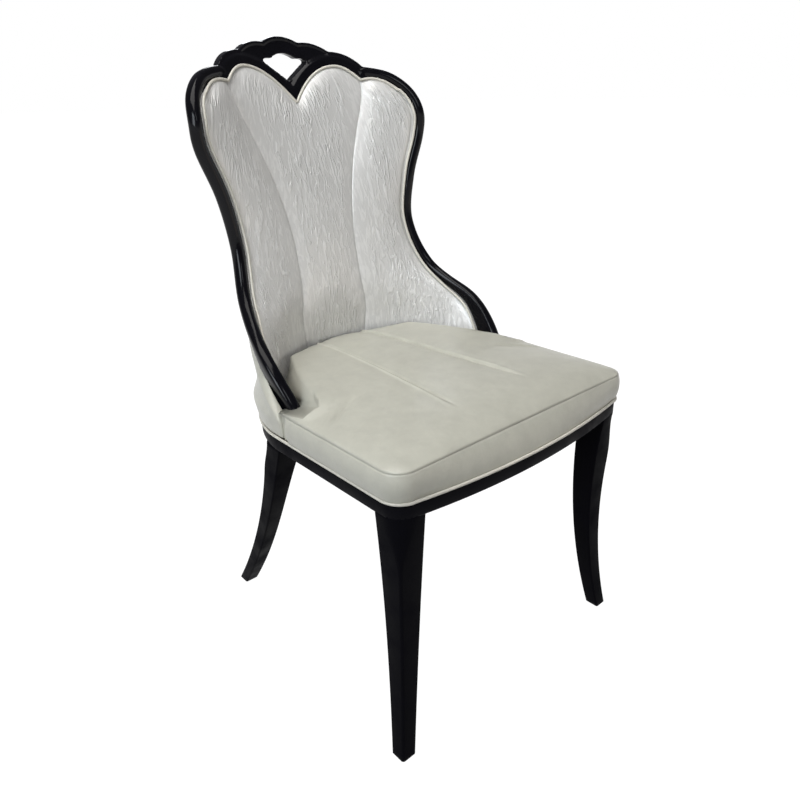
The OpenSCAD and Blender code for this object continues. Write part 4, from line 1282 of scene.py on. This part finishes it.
def camera_matrix():
    """Where the photograph was taken from, turned to look at the chair."""
    level = math.cos(CAMERA_PITCH)
    ahead = Vector((math.sin(CAMERA_YAW) * level, math.cos(CAMERA_YAW) * level, -math.sin(CAMERA_PITCH)))
    right = ahead.cross(Vector((0, 0, 1))).normalized()
    up = right.cross(ahead)
    turned_right = right * math.cos(CAMERA_ROLL) + up * math.sin(CAMERA_ROLL)
    turned_up = up * math.cos(CAMERA_ROLL) - right * math.sin(CAMERA_ROLL)
    turned = Matrix((turned_right, turned_up, -ahead)).transposed().to_4x4()
    return Matrix.Translation(Vector(CAMERA_AT) - Vector((0, SHIFT_Y * MM, 0))) @ turned


def area_light(name, place, target, size, power, colour):
    lamp = bpy.data.lights.new(name, "AREA")
    lamp.shape = "RECTANGLE"
    lamp.size, lamp.size_y = size
    lamp.energy = power
    lamp.color = colour
    light = new_object(name, lamp)
    light.location = place
    light.rotation_euler = (Vector(target) - Vector(place)).to_track_quat("-Z", "Y").to_euler()


def floor_material(colour):
    """Pale floor: the camera sees it mostly glowing with a faint shadow, bounced light sees it dark."""
    paint = Paint("pale_floor", colour, 0.9, 0.1)
    tree = paint.tree
    ray = paint.add("ShaderNodeLightPath").outputs
    seen = ray["Is Camera Ray"]
    for kind in ("Is Glossy Ray", "Is Transmission Ray"):
        seen = paint.math("MAXIMUM", seen, ray[kind])
    pale = paint.tinted(paint.noise(paint.place(), 6, 3), colour, 0.985, 1.01)
    dimmed = paint.add("ShaderNodeMixRGB", Fac=seen, Color1=(*shade(colour, FLOOR_BOUNCE), 1), Color2=pale)
    paint.finish(Base_Color=dimmed.outputs["Color"])
    glow = paint.add("ShaderNodeEmission", Color=(1, 1, 1, 1), Strength=FLOOR_GLOW)
    blend = paint.add("ShaderNodeMixShader", Fac=paint.between(seen, 0.0, FLOOR_GLOW_SHARE))
    tree.links.new(paint.surface.outputs["BSDF"], blend.inputs[1])
    tree.links.new(glow.outputs["Emission"], blend.inputs[2])
    tree.links.new(blend.outputs["Shader"], tree.nodes["Material Output"].inputs["Surface"])
    return paint.material


def studio_world():
    """White toward the horizon, dimmer overhead, so that black lacquer stays black."""
    world = bpy.data.worlds.new("studio")
    world.use_nodes = True
    tree = world.node_tree
    background = tree.nodes["Background"]
    coords = tree.nodes.new("ShaderNodeTexCoord")
    parts = tree.nodes.new("ShaderNodeSeparateXYZ")
    ramp = colour_ramp(tree, (1, 1, 1), (0.12, 0.12, 0.13), (0.12, 0.26))
    tree.links.new(coords.outputs["Generated"], parts.inputs["Vector"])
    tree.links.new(parts.outputs["Z"], ramp.inputs["Fac"])
    tree.links.new(ramp.outputs["Color"], background.inputs["Color"])
    background.inputs["Strength"].default_value = 1
    return world


class CHAIR_OT_stage(bpy.types.Operator):
    """Sets the pale floor, the soft lights and the camera"""
    bl_idname = "dining_chair.stage"
    bl_label = "Stage"

    def execute(self, context):
        scene = context.scene
        stage = scene.chair_stage
        mesh = bpy.data.meshes.new("floor")
        corners = [(x * FLOOR_SIDE, y * FLOOR_SIDE, 0) for x, y in ((-1, -1), (1, -1), (1, 1), (-1, 1))]
        mesh.from_pydata(corners, [], [(0, 1, 2, 3)])
        floor = new_object("floor", mesh)
        floor.data.materials.append(floor_material(stage.floor_colour))
        for name, place, target, size, share, colour in LIGHTS:
            area_light(name, place, target, size, stage.key_power * share, colour)
        scene.world = studio_world()
        lens = bpy.data.cameras.new("photo_camera")
        lens.sensor_fit = "HORIZONTAL"
        lens.sensor_width = SENSOR_W
        lens.lens = CAMERA_FOCUS_PX / PHOTO_PX * SENSOR_W
        lens.clip_end = 200
        camera = new_object("photo_camera", lens)
        camera.matrix_world = camera_matrix()
        scene.camera = camera
        scene.view_settings.view_transform = "Standard"
        return {"FINISHED"}


GROUPS = {"chair_upholstery": ChairUpholstery, "chair_woodwork": ChairWoodwork, "chair_stage": ChairStage}
OPERATORS = (CHAIR_OT_legs, CHAIR_OT_band, CHAIR_OT_rim, CHAIR_OT_lining, CHAIR_OT_outer_back, CHAIR_OT_seat,
             CHAIR_OT_piping, CHAIR_OT_hidden_parts, CHAIR_OT_stage)


class CHAIR_PT_panel(bpy.types.Panel):
    """Lists the steps that dress the chair"""
    bl_idname = "CHAIR_PT_panel"
    bl_label = "Dining chair"
    bl_space_type = "VIEW_3D"
    bl_region_type = "UI"
    bl_category = "Chair"

    def draw(self, context):
        for group in GROUPS:
            settings = getattr(context.scene, group)
            for name in settings.bl_rna.properties.keys():
                if name not in ("rna_type", "name"):
                    self.layout.prop(settings, name)
        for step in OPERATORS:
            self.layout.operator(step.bl_idname)


CLASSES = (*GROUPS.values(), *OPERATORS, CHAIR_PT_panel)


def register():
    for each in CLASSES:
        bpy.utils.register_class(each)
    for name, group in GROUPS.items():
        setattr(bpy.types.Scene, name, bpy.props.PointerProperty(type=group))


def unregister():
    for name in GROUPS:
        delattr(bpy.types.Scene, name)
    for each in reversed(CLASSES):
        bpy.utils.unregister_class(each)


def main():
    register()
    for step in OPERATORS:
        area, name = step.bl_idname.split(".")
        getattr(getattr(bpy.ops, area), name)()


if __name__ == "__main__":
    main()
